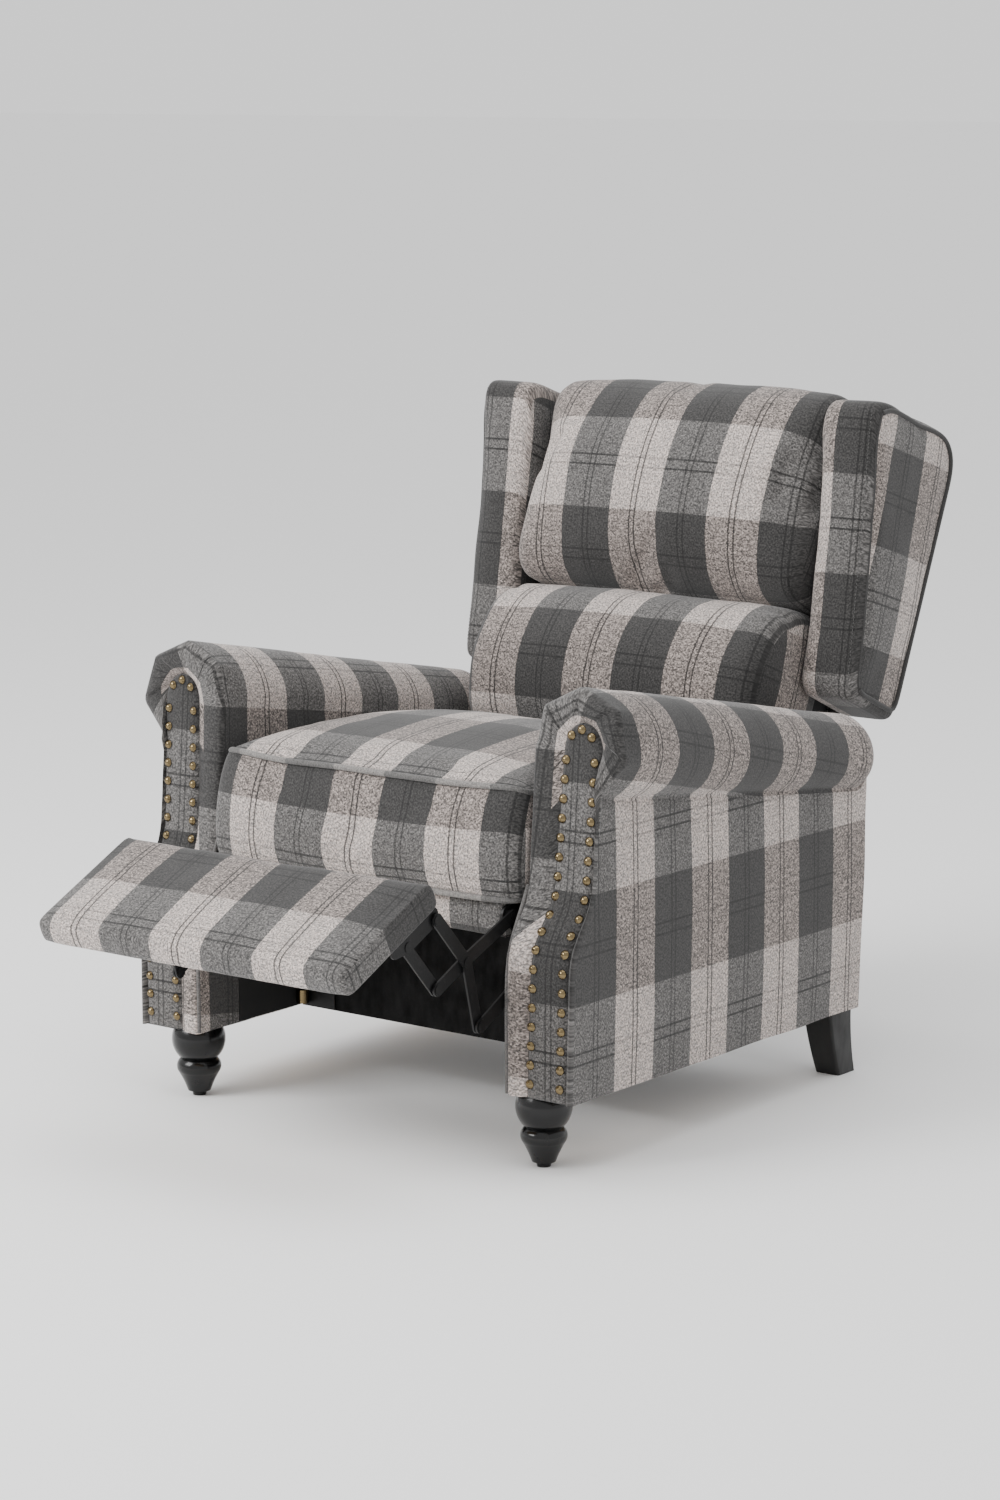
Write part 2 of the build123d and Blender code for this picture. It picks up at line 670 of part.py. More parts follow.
# Pins fixed in the links
with BuildPart() as front_link_pins:
    pin(CROSS_PIVOT, layer(2), layer(3) + LINK_T + HEAD_PLAY)
    pin(SPREAD_PIVOT, layer(1) - HEAD_PLAY, layer(2) + LINK_T)
    mirror(about=Plane.YZ)
with BuildPart() as cross_link_pins:
    pin(DRIVE_END, layer(3), layer(4) + LINK_T + HEAD_PLAY)
    mirror(about=Plane.YZ)

# Footrest: board, padded cover over it, and an angle bracket on each side
with BuildPart() as footrest_board:
    with BuildSketch(foot_plane(FOOT_HALF - 14)):
        with Locations((FOOT_L / 2 - FOOT_BACK, FOOT_SEAT)):
            Rectangle(FOOT_L - 28, FOOT_BOARD_T, align=(Align.CENTER, Align.MIN))
    extrude(amount=2 * (FOOT_HALF - 14))


def foot_section(x, crown, draw):
    """Outline of the footrest pad at a given X: rounded ends, crowned top."""
    back = -FOOT_BACK + draw
    front = FOOT_L - FOOT_BACK - draw
    top = FOOT_SEAT + FOOT_T - draw
    with BuildSketch(foot_plane(x)) as outline:
        with BuildLine():
            Line((front - 5, FOOT_SEAT), (back + 5, FOOT_SEAT))
            ThreePointArc((back + 5, FOOT_SEAT), (back - 3, FOOT_SEAT + FOOT_T * 0.45), (back + 7, top))
            ThreePointArc((back + 7, top), ((back + front) / 2, top + crown * FOOT_CROWN), (front - 7, top))
            ThreePointArc((front - 7, top), (front + 3, FOOT_SEAT + FOOT_T * 0.45), (front - 5, FOOT_SEAT))
        make_face()
    return outline.sketch


PAD_ROWS = even_rows(0.3, 5.0)
with BuildPart() as footrest_pad:
    loft([foot_section(share * FOOT_HALF, crown, draw) for share, crown, draw in PAD_ROWS])
    add(footrest_board.part, mode=Mode.SUBTRACT)

BRACKET_X = layer(2) + LINK_T
with BuildPart() as foot_bracket_right:
    with BuildSketch(foot_plane(BRACKET_X)):
        with Locations((0, 0), (SPREAD_L, 0), (-2, FOOT_SEAT - 8), (SPREAD_L + 24, FOOT_SEAT - 8)):
            Circle(8)
        make_hull()
        with Locations((0, 0), (SPREAD_L, 0)):
            Circle(PIN_R, mode=Mode.SUBTRACT)
    extrude(amount=LINK_T)
    with BuildSketch(foot_plane(BRACKET_X)):
        with Locations((-2, FOOT_SEAT)):
            Rectangle(SPREAD_L + 26, LINK_T, align=(Align.MIN, Align.MAX))
    extrude(amount=30)
with BuildPart() as foot_pins:
    pin(FOOT_HINGE, layer(2), layer(3) + LINK_T + HEAD_PLAY)
    pin(FOOT_STAY, layer(1) - HEAD_PLAY, layer(2) + LINK_T)
    mirror(about=Plane.YZ)

# Back carrier: turns on the seat plate, steered by its guide pin, and carries the back
GUIDE_REST = guide_spot(0)
with BuildPart() as carrier_right:
    for a, b in ((CARRIER_PIVOT, BACK_PIVOT_YZ), (CARRIER_PIVOT, GUIDE_REST)):
        with BuildSketch(Plane.YZ.offset(CARRIER_X)):
            with Locations(a, b):
                Circle(12)
            make_hull()
        extrude(amount=PLATE_T)
    disc(CARRIER_PIVOT, FREE_R, CARRIER_X, CARRIER_X + PLATE_T, Mode.SUBTRACT)
    disc(BACK_PIVOT_YZ, PIN_R, CARRIER_X, CARRIER_X + PLATE_T, Mode.SUBTRACT)
    disc(GUIDE_REST, PIN_R, CARRIER_X, CARRIER_X + PLATE_T, Mode.SUBTRACT)

# Back bracket: steel arm on each post, reaching forward to the carrier
BRACKET_GAP = 0.7
POST_OUT = PLATE_IN - BRACKET_GAP - PLATE_T
with BuildPart() as back_bracket_right:
    with BuildSketch(back_plane(POST_OUT)):
        with BuildLine():
            Polyline(
                (BACK_PIVOT[0], BACK_PIVOT[1] + 13),
                (-PANEL_T - 4, BACK_PIVOT[1] + 13),
                (-PANEL_T - 4, BACK_FOOT + 4),
                (BACK_PIVOT[0], BACK_PIVOT[1] - 13),
                close=True,
            )
        make_face()
        with Locations(BACK_PIVOT):
            Circle(13)
            Circle(FREE_R, mode=Mode.SUBTRACT)
    extrude(amount=PLATE_T)
with BuildPart() as carrier_pins:
    pin(BACK_PIVOT_YZ, POST_OUT - HEAD_PLAY, CARRIER_X + PLATE_T)
    pin(GUIDE_REST, CARRIER_X, GUIDE_X + PLATE_T + 0.4)
    mirror(about=Plane.YZ)

# Back frame: two posts with a block for each wing, joined by three rails
FRAME_V = -PANEL_T - POST_T
with BuildPart() as back_frame:
    with BuildSketch(back_plane(POST_OUT)):
        with Locations((FRAME_V, BACK_FOOT)):
            Rectangle(POST_T, BACK_TOP - BACK_FOOT - 4, align=(Align.MIN, Align.MIN))
    extrude(amount=-POST_W)
    with BuildSketch(back_plane(POST_OUT)):
        with Locations((FRAME_V, 16)):
            Rectangle(POST_T, BACK_TOP - 46, align=(Align.MIN, Align.MIN))
    extrude(amount=WING_IN - POST_OUT)
    mirror(about=Plane.YZ)
    with BuildSketch(back_plane(-POST_OUT)):
        for u, height in ((BACK_FOOT + 25, 44), (PILLOW_SPLIT - 22, 44), (BACK_TOP - 44, 40)):
            with Locations((FRAME_V, u)):
                Rectangle(POST_T, height, align=(Align.MIN, Align.MIN))
    extrude(amount=2 * POST_OUT)
with BuildPart() as back_straps:
    for u in (-100, -44, 12, 66, 172, 232, 292, 348):
        with BuildSketch(back_plane(-POST_OUT + 4)):
            with Locations((FRAME_V, u)):
                Rectangle(WEB_T, 40, align=(Align.MAX, Align.CENTER))
        extrude(amount=2 * (POST_OUT - 4))
with BuildPart() as outside_back:
    with BuildSketch(back_plane(-WING_IN)):
        with Locations((-PANEL_T, 0)):
            Rectangle(PANEL_T, BACK_TOP, align=(Align.MIN, Align.MIN))
    extrude(amount=2 * WING_IN)
    with BuildSketch(back_plane(-POST_OUT)):
        with Locations((-PANEL_T, BACK_FOOT)):
            Rectangle(PANEL_T, -BACK_FOOT, align=(Align.MIN, Align.MIN))
    extrude(amount=2 * POST_OUT)

# Wings: a board in each, and the padded cover round it
with BuildPart() as wing_board_right:
    with BuildSketch(back_plane((WING_IN + WING_OUT - BOARD_T) / 2)):
        with BuildLine():
            Polyline(
                (-24, 0),
                (-24, BACK_TOP - 40),
                (WING_HEAD + 44, BACK_TOP - 58),
                (WING_FOOT + 24, 0),
                close=True,
            )
        make_face()
    extrude(amount=BOARD_T)
with BuildPart() as wing_right:
    with BuildSketch(back_plane(WING_IN)):
        with BuildLine() as wing_line:
            Polyline(
                (0, 0),
                (0, BACK_TOP),
                (WING_HEAD + 4, BACK_TOP - 18),
                (WING_HEAD, BACK_TOP - 56),
                (WING_FOOT, 0),
                close=True,
            )
        make_face()
        fillet(wing_line.vertices().sort_by(Axis.Y)[-3:], radius=24)
    extrude(amount=WING_OUT - WING_IN)
    soft = wing_right.faces().filter_by(Axis.X).sort_by(Axis.X)
    fillet(soft[-1].edges() + soft[0].edges(), radius=WING_SOFT)
    add(wing_board_right.part, mode=Mode.SUBTRACT)


def lumbar_section(x, crown, draw):
    """Outline of the lower back cushion at a given X, fullest just above the seat."""
    with BuildSketch(back_plane(x)) as outline:
        with BuildLine():
            ThreePointArc(
                (-206 + draw, -126 + draw),
                (-226 - 36 * crown, -52),
                (-196 + draw, PILLOW_SPLIT - 14 - draw),
            )
            ThreePointArc(
                (-196 + draw, PILLOW_SPLIT - 14 - draw),
                (-128, PILLOW_SPLIT - 3 - draw),
                (FRAME_V - WEB_T, PILLOW_SPLIT - 10 - draw),
            )
            Polyline(
                (FRAME_V - WEB_T, PILLOW_SPLIT - 10 - draw),
                (FRAME_V - WEB_T, -128 + draw),
                (-170, -128 + draw),
                (-206 + draw, -126 + draw),
            )
        make_face()
    return outline.sketch


def head_section(x, crown, draw):
    """Outline of the upper back cushion at a given X, rolled over at its top."""
    with BuildSketch(back_plane(x)) as outline:
        with BuildLine():
            ThreePointArc(
                (-184 + draw, PILLOW_SPLIT + 14 + draw),
                (-192 - 28 * crown, 240),
                (-186 + draw, BACK_TOP - 6 - draw),
            )
            ThreePointArc(
                (-186 + draw, BACK_TOP - 6 - draw),
                (-146, BACK_TOP + 6 + 18 * crown - draw),
                (-96, BACK_TOP - 6 - draw),
            )
            Polyline(
                (-96, BACK_TOP - 6 - draw),
                (FRAME_V - WEB_T, BACK_TOP - 40 - draw),
                (FRAME_V - WEB_T, PILLOW_SPLIT + 10 + draw),
            )
            ThreePointArc(
                (FRAME_V - WEB_T, PILLOW_SPLIT + 10 + draw),
                (-122, PILLOW_SPLIT + 3 + draw),
                (-184 + draw, PILLOW_SPLIT + 14 + draw),
            )
        make_face()
    return outline.sketch


PILLOW_ROWS = even_rows(0.25, 13.0)
with BuildPart() as lumbar_cushion:
    loft([lumbar_section(share * PILLOW_HALF, crown, draw) for share, crown, draw in PILLOW_ROWS])
with BuildPart() as head_cushion:
    loft([head_section(share * PILLOW_HALF, crown, draw) for share, crown, draw in PILLOW_ROWS])

# Pieces that come in a right and a left copy
PAIRS = {
    "arm_upholstery": arm_right.part,
    "arm_facing": facing_right.part,
    "front_leg": front_leg_right.part,
    "rear_leg": rear_leg_right.part,
    "seat_track": track_right.part,
    "recline_guide": guide_right.part,
    "seat_plate": seat_plate_right.part,
    "front_link": front_link_right,
    "cross_link": cross_link_right,
    "stay_link": stay_link_right,
    "drive_link": drive_link_right,
    "footrest_bracket": foot_bracket_right.part,
    "back_carrier": carrier_right.part,
    "back_bracket": back_bracket_right.part,
    "wing": wing_right.part,
}
for name, piece in PAIRS.items():
    save(piece, f"{name}_right")
    save(other_side(piece), f"{name}_left")

# Sets of two that lie inside other pieces or against them
SETS = {
    "side_frames": side_frame_right.part,
    "arm_linings": arm_lining_right.part,
    "arm_rear_cloths": rear_cloth_right.part,
    "wing_boards": wing_board_right.part,
}
for name, piece in SETS.items():
    with BuildPart() as both_sides:
        add(piece)
        mirror(piece, about=Plane.YZ)
    save(both_sides.part, name)

# Pieces that come once, or as a set
SINGLES = {
    "brass_nails": brass_nails.part,
    "leg_bolts": leg_bolts.part,
    "cross_board": cross_board.part,
    "rear_rail": rear_rail.part,
    "corner_plates": corner_plates.part,
    "corner_barrels": corner_barrels.part,
    "drive_studs": drive_studs.part,
    "seat_frame": seat_frame.part,
    "seat_straps": seat_straps.part,
    "seat_cloth": seat_cloth.part,
    "seat_cushion": seat_cushion.part,
    "glides": glides.part,
    "seat_pins": seat_pins.part,
    "front_link_pins": front_link_pins.part,
    "cross_link_pins": cross_link_pins.part,
    "footrest_board": footrest_board.part,
    "footrest_pad": footrest_pad.part,
    "footrest_pins": foot_pins.part,
    "carrier_pins": carrier_pins.part,
    "back_frame": back_frame.part,
    "back_straps": back_straps.part,
    "outside_back": outside_back.part,
    "lumbar_cushion": lumbar_cushion.part,
    "head_cushion": head_cushion.part,
}
for name, piece in SINGLES.items():
    save(piece, name)
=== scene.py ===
# %% [markdown]
# This lesson dresses a push-back recliner. Its frame is already built from solids: boards, legs, steel links
# and plain cushions. Here the frame is loaded, and the covers, seams, nails and finishes are made round it.

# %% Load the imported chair
import math

import bmesh
import bpy
import numpy as np
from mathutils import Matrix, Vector, noise


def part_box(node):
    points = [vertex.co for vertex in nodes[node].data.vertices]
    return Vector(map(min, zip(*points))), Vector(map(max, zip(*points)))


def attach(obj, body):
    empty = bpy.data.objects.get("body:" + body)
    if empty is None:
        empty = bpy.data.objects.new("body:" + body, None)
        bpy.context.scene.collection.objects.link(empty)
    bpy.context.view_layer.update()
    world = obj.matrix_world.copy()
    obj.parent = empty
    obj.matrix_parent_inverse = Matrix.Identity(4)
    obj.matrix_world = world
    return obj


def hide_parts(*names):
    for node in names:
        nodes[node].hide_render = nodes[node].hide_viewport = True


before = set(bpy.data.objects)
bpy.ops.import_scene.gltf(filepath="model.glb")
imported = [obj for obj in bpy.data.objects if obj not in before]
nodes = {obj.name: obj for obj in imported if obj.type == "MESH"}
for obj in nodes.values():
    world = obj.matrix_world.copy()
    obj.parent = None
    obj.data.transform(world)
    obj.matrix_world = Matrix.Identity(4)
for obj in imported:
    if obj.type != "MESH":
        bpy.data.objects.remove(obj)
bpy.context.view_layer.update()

SIDES = {"right": 1, "left": -1}

# %% [markdown]
# The chair was photographed from its front right, a little above the seat. A long lens
# keeps the arms nearly parallel, so the camera stands far away and looks at the middle of the chair.
# Placing it by angle and distance is easier to read than a typed position.

# %% Camera at the photograph's angle
LOOK_AT = Vector((0.0, 0.013, 0.4778))
SIDEWAYS = math.radians(37.417)
UPWARD = math.radians(9.832)
DISTANCE = 5.453
LENS = 94.24
SENSOR = 36.0


def add_to_scene(name, data):
    """An object in the scene for a camera, lamp or mesh."""
    piece = bpy.data.objects.new(name, data)
    bpy.context.scene.collection.objects.link(piece)
    return piece


def turned_along(direction):
    """Rotation of a camera or lamp that looks along a direction."""
    return direction.to_track_quat("-Z", "Y").to_euler()


camera_data = bpy.data.cameras.new("camera")
camera_data.lens = LENS
camera_data.sensor_width = SENSOR
camera = add_to_scene("camera", camera_data)
level = math.cos(UPWARD)
away = Vector((math.sin(SIDEWAYS) * level, -math.cos(SIDEWAYS) * level, math.sin(UPWARD)))
camera.location = LOOK_AT + away * DISTANCE
camera.rotation_euler = turned_along(-away)
bpy.context.scene.camera = camera
print("camera stands", round(camera.location.length, 2), "m from the origin")

# %% [markdown]
# Studio light for cloth is broad and soft: a bright surround fills every fold, one large lamp
# from the front left gives shape to the rolls, and a second overhead lifts the tops of the cushions.
# The floor is a plain pale sheet, much larger than the view.

# %% Floor and soft light
FLOOR_HALF = 90


def set_inputs(node, values):
    """Plain values for some inputs of a node."""
    for key, value in values.items():
        node.inputs[key].default_value = value


def new_finish(name, values):
    """A material with its main shader, ready for more nodes."""
    finish = bpy.data.materials.new(name)
    finish.use_nodes = True
    shader = finish.node_tree.nodes["Principled BSDF"]
    set_inputs(shader, values)
    return finish, shader


def lamp(name, spot, size, power):
    """A square lamp that faces the middle of the chair."""
    light = bpy.data.lights.new(name, "AREA")
    light.size = size
    light.energy = power
    stand = add_to_scene(name, light)
    stand.location = spot
    stand.rotation_euler = turned_along(LOOK_AT - Vector(spot))


floor_mesh = bpy.data.meshes.new("floor")
floor_corners = [(x * FLOOR_HALF, y * FLOOR_HALF, 0) for x, y in ((-1, -1), (1, -1), (1, 1), (-1, 1))]
floor_mesh.from_pydata(floor_corners, [], [(0, 1, 2, 3)])
floor_look = {"Roughness": 0.9, "Base Color": (0.955, 0.955, 0.955, 1.0)}
floor_mesh.materials.append(new_finish("pale_floor", floor_look)[0])
floor = add_to_scene("floor", floor_mesh)

surround = bpy.data.worlds.new("surround")
surround.use_nodes = True
set_inputs(surround.node_tree.nodes["Background"], {"Color": (1.0, 1.0, 1.0, 1.0), "Strength": 1.12})
bpy.context.scene.world = surround
lamp("front_lamp", (-1.9, -3.6, 3.0), size=2.4, power=210.0)
lamp("top_lamp", (0.3, -0.2, 4.2), size=3.0, power=60.0)
print("lamps:", [light.name for light in bpy.data.lights])

# %% [markdown]
# Every finish is a small tree of nodes. One helper makes a node and joins its inputs; the others give the
# usual steps short names: a sum, a mix of two colours, a speckle, a stretched range. Every socket knows the
# tree it belongs to, so the tree needn't be handed round. A value that is the same everywhere goes straight
# into the shader.

# %% Helpers for finishes
def plug(socket, value):
    """Join a socket to another one, or give it a plain value."""
    if isinstance(value, bpy.types.NodeSocket):
        socket.id_data.links.new(value, socket)
    else:
        socket.default_value = value


def add_node(tree, kind, inputs, **settings):
    """A node with its settings, and its inputs joined or given plain values."""
    node = tree.nodes.new(kind)
    for key, value in settings.items():
        setattr(node, key, value)
    for key, value in inputs.items():
        plug(node.inputs[key], value)
    return node


def sums(kind, first, second=0.0):
    """One step of arithmetic."""
    return add_node(first.id_data, "ShaderNodeMath", {0: first, 1: second}, operation=kind).outputs[0]


def blend_colours(share, first, second):
    """Two colours mixed by a share, given as sockets or as plain colours."""
    first, second = (c if isinstance(c, bpy.types.NodeSocket) else (*c, 1.0) for c in (first, second))
    inputs = {"Factor": share, 6: first, 7: second}
    return add_node(share.id_data, "ShaderNodeMix", inputs, data_type="RGBA").outputs[2]


def shaded(colour, tone):
    """A colour made lighter or darker by a tone."""
    inputs = {0: colour, "Scale": tone}
    return add_node(tone.id_data, "ShaderNodeVectorMath", inputs, operation="SCALE").outputs["Vector"]


def split(vector):
    """The X, Y and Z of a vector."""
    return add_node(vector.id_data, "ShaderNodeSeparateXYZ", {"Vector": vector}).outputs


def stretched(where, stretch):
    """Coordinates stretched as given, in cycles per metre."""
    inputs = {"Vector": where, "Scale": stretch}
    return add_node(where.id_data, "ShaderNodeMapping", inputs).outputs["Vector"]


def speckle(where, stretch, detail=2.0):
    """Fine noise, stretched as given in cycles per metre."""
    inputs = {"Vector": stretched(where, stretch), "Scale": 1.0, "Detail": detail}
    return add_node(where.id_data, "ShaderNodeTexNoise", inputs).outputs["Fac"]


def spread(value, low, high, new_low=0.0, new_high=1.0):
    """Stretch a range of values onto another range."""
    inputs = {"Value": value, "From Min": low, "From Max": high, "To Min": new_low, "To Max": new_high}
    return add_node(value.id_data, "ShaderNodeMapRange", inputs).outputs["Result"]


def between(share, none, full):
    """A value that goes from one number to another as a share grows from none to full."""
    return spread(share, 0.0, 1.0, none, full)


def uneven(grain, low, high):
    """The usual values of a noise, stretched onto a range."""
    return spread(grain, 0.3, 0.7, low, high)


def ribbed(slant, pitch, share, grain):
    """Height of a grain with fine ribs across a slant."""
    wave = sums("SINE", sums("MULTIPLY", slant, 2 * math.pi / pitch))
    return sums("ADD", sums("MULTIPLY", wave, share), grain)


def surface(shader, colour, roughness, height, depth, strength):
    """Join colour and roughness to the shader, and turn a height into small relief."""
    inputs = {"Height": height, "Distance": depth, "Strength": strength}
    relief = add_node(shader.id_data, "ShaderNodeBump", inputs)
    joined = {"Base Color": colour, "Roughness": roughness, "Normal": relief.outputs["Normal"]}
    for key, value in joined.items():
        plug(shader.inputs[key], value)


def place_in_piece(shader):
    """Coordinates in metres, the same for a piece wherever the chair stands."""
    return add_node(shader.id_data, "ShaderNodeTexCoord", {}).outputs["Object"]


print("helpers ready")

# %% [markdown]
# The cover is a checked wool look: warp stripes 86 mm wide, light taupe and charcoal by turns, crossed
# by weft bands 141 mm wide, charcoal and mid grey by turns. A pair of thin dark threads runs down the
# middle of every stripe and band. Where warp and weft cross, each shows about half the time, so the cloth
# is a speckled mix of the two. The pattern reads a UV map measured in metres, because stripes have to turn
# with the cut of each panel. A map from the picture would stretch; this one stays sharp at any size.

# %% Checked cloth
STRIPE_REPEAT = 0.1725
BAND_REPEAT = 0.282
# Paired threads: how far each lies from the middle of its stripe or band, and its width
WARP_PAIR = (0.0045, 0.0026)
WEFT_PAIR = (0.0075, 0.0030)
THREAD_WANDER = 0.0022
TWILL_PITCH = 0.0026
WARP_LIGHT = (0.488, 0.414, 0.376)
WARP_DARK = (0.042, 0.040, 0.039)
WEFT_DARK = (0.022, 0.0212, 0.0208)
WEFT_MID = (0.178, 0.169, 0.163)
THREAD_DARK = (0.006, 0.0057, 0.0057)


def yarn_flecks(where, stretch):
    """A chance value for every little cell of the cloth, given in cells per metre."""
    inputs = {"Vector": stretched(where, stretch), "Scale": 1.0}
    cells = add_node(where.id_data, "ShaderNodeTexVoronoi", inputs, voronoi_dimensions="2D")
    return split(cells.outputs["Color"])["X"]


def repeat_of(along, repeat, offset, width):
    """(in the first half of the repeat, on one of the paired threads) for one direction of the cloth."""
    phase = sums("FRACT", sums("ADD", sums("DIVIDE", along, repeat), 0.25))
    first_half = sums("LESS_THAN", phase, 0.5)
    half = sums("FRACT", sums("MULTIPLY", phase, 2.0))
    off_middle = sums("ABSOLUTE", sums("SUBTRACT", half, 0.5))
    off_thread = sums("ABSOLUTE", sums("SUBTRACT", off_middle, 2 * offset / repeat))
    return first_half, sums("LESS_THAN", off_thread, width / repeat)


def checked_cloth():
    """The speckled check, woven as a twill."""
    values = {"Roughness": 0.92, "Specular IOR Level": 0.25, "Sheen Weight": 0.18, "Sheen Roughness": 0.55}
    finish, shader = new_finish("checked_cloth", values)
    where = add_node(shader.id_data, "ShaderNodeUVMap", {}, uv_map="cloth").outputs["UV"]
    parts = split(where)
    wander = sums("SUBTRACT", speckle(where, (700, 700, 1)), 0.5)
    wander = sums("MULTIPLY", wander, THREAD_WANDER)
    across = sums("ADD", parts["X"], wander)
    along = sums("ADD", parts["Y"], wander)
    light, warp_pair = repeat_of(across, STRIPE_REPEAT, *WARP_PAIR)
    dark, weft_pair = repeat_of(along, BAND_REPEAT, *WEFT_PAIR)
    warp = blend_colours(light, WARP_DARK, WARP_LIGHT)
    weft = blend_colours(dark, WEFT_MID, WEFT_DARK)
    weft_showing = between(yarn_flecks(where, (430, 520, 1)), 0.14, 0.86)
    woven = blend_colours(weft_showing, warp, weft)
    on_warp = sums("MULTIPLY", warp_pair, between(light, 0.62, 0.80))
    on_weft = sums("MULTIPLY", between(dark, 0.75, 0.58), between(light, 1.0, 0.36))
    woven = blend_colours(on_warp, woven, THREAD_DARK)
    woven = blend_colours(sums("MULTIPLY", weft_pair, on_weft), woven, THREAD_DARK)
    on_mid = between(light, 0.88, 1.11)
    on_dark = between(light, 1.02, 0.74)
    deeper = sums("MULTIPLY", dark, sums("SUBTRACT", on_dark, on_mid))
    fuzz = speckle(where, (420, 340, 1), 3.0)
    heather = spread(fuzz, 0.37, 0.63, 0.45, 1.55)
    slow = uneven(speckle(where, (9, 9, 1)), 0.95, 1.05)
    tones = sums("MULTIPLY", sums("ADD", on_mid, deeper), slow)
    colour = shaded(woven, sums("MULTIPLY", heather, tones))
    height = ribbed(sums("ADD", across, along), TWILL_PITCH, 0.25, fuzz)
    surface(shader, colour, uneven(fuzz, 0.84, 0.98), height, 0.0003, 0.3)
    return finish


CHECK = checked_cloth()
print("check repeats every", STRIPE_REPEAT, "by", BAND_REPEAT, "m")

# %% [markdown]
# The other cloths are plain: the bias-cut piping, the black lining and rear cloth, the pale dust cover under
# the seat and the woven straps. They have no panels to follow, so Object coordinates are enough, even for
# the seat's piping, which is striped from side to side.

# %% Plain cloths
PIPING_PHASE = 0.273


def plain_cloth(name, colour, pitch, contrast, sheen=0.15, stripe=None):
    """A plain woven cloth, slightly uneven in tone; a second colour makes it striped from side to side."""
    finish, shader = new_finish(name, {"Roughness": 0.9, "Sheen Weight": sheen})
    where = place_in_piece(shader)
    parts = split(where)
    if stripe is not None:
        turn = sums("ADD", sums("DIVIDE", parts["X"], STRIPE_REPEAT), PIPING_PHASE)
        first = sums("LESS_THAN", sums("FRACT", turn), 0.5)
        colour = blend_colours(first, stripe, colour)
    grain = speckle(where, (1 / pitch,) * 3, 3.0)
    tone = uneven(grain, 1 - contrast, 1 + contrast)
    slant = sums("ADD", sums("ADD", parts["X"], parts["Y"]), parts["Z"])
    height = ribbed(slant, 2 * pitch, 0.3, grain)
    surface(shader, shaded(colour, tone), uneven(grain, 0.82, 0.97), height, 0.0005, 0.5)
    return finish


PIPING_LIGHT = plain_cloth(
    "piping_cloth_light", (0.185, 0.174, 0.165), 0.0022, 0.5, stripe=(0.098, 0.094, 0.091)
)
PIPING_DARK = plain_cloth("piping_cloth_dark", (0.030, 0.029, 0.0285), 0.0016, 0.4)
PIPING_MID = plain_cloth("piping_cloth_mid", (0.10, 0.095, 0.092), 0.0020, 0.5)
BLACK_CLOTH = plain_cloth("black_lining_cloth", (0.004, 0.004, 0.0042), 0.0009, 0.35, sheen=0.02)
PALE_CLOTH = plain_cloth("pale_dust_cloth", (0.22, 0.21, 0.20), 0.0016, 0.5)
STRAP_CLOTH = plain_cloth("woven_strap", (0.14, 0.11, 0.08), 0.0014, 0.4)
THREAD = plain_cloth("grey_thread", (0.1, 0.1, 0.098), 0.0005, 0.3)
print("plain cloths:", PIPING_LIGHT.name, PIPING_DARK.name, BLACK_CLOTH.name, PALE_CLOTH.name)

# %% [markdown]
# Wood and metal: gloss black lacquer on the turned legs, satin black on the square rear legs, flat black on
# the boards, raw pine inside, black powder coat on the links, zinc on bolts and tracks, antique brass on the
# nails. Lacquer is a dark wood under a clear coat with faint dust and brush waves; powder coat has an
# orange-peel skin.

# %% Wood and metal
DUST = (0.03, 0.029, 0.028)


def lacquer(name, colour, roughness, coat, gloss):
    """Black lacquer with soft waves, thin dust and a clear coat."""
    finish, shader = new_finish(name, {"Roughness": roughness, "Specular IOR Level": gloss})
    set_inputs(shader, {"Coat Weight": coat, "Coat Roughness": 0.12})
    where = place_in_piece(shader)
    waves = speckle(where, (60, 60, 25), 3.0)
    dust = spread(speckle(where, (420, 420, 420), 4.0), 0.5, 0.75)
    dusty = blend_colours(sums("MULTIPLY", dust, 0.12), colour, DUST)
    rough = uneven(waves, roughness * 0.75, roughness * 1.35)
    surface(shader, dusty, rough, waves, 0.0008, 0.25)
    return finish


def sawn_wood(name, colour):
    """Raw softwood with long grain."""
    finish, shader = new_finish(name, {"Roughness": 0.75})
    grain = speckle(place_in_piece(shader), (140, 9, 140), 5.0)
    pale = tuple(min(1.0, part * 1.35) for part in colour)
    streaked = blend_colours(uneven(grain, 0.0, 1.0), colour, pale)
    surface(shader, streaked, uneven(grain, 0.65, 0.85), grain, 0.0006, 0.4)
    return finish


def metal(name, colour, metallic, roughness, grain_size, worn=None):
    """Painted or plated metal with a fine skin, and wear where a colour is given."""
    finish, shader = new_finish(name, {"Roughness": roughness, "Metallic": metallic})
    if metallic == 0.0:
        set_inputs(shader, {"Specular IOR Level": 0.3})
    where = place_in_piece(shader)
    skin = speckle(where, (1 / grain_size,) * 3, 3.0)
    rub = spread(speckle(where, (130, 130, 130), 4.0), 0.56, 0.74, 0.0, 0.7)
    rubbed = blend_colours(rub, colour, worn or tuple(part * 0.6 for part in colour))
    rough = uneven(skin, roughness * 0.8, roughness * 1.25)
    surface(shader, rubbed, rough, skin, 0.0004, 0.3)
    return finish


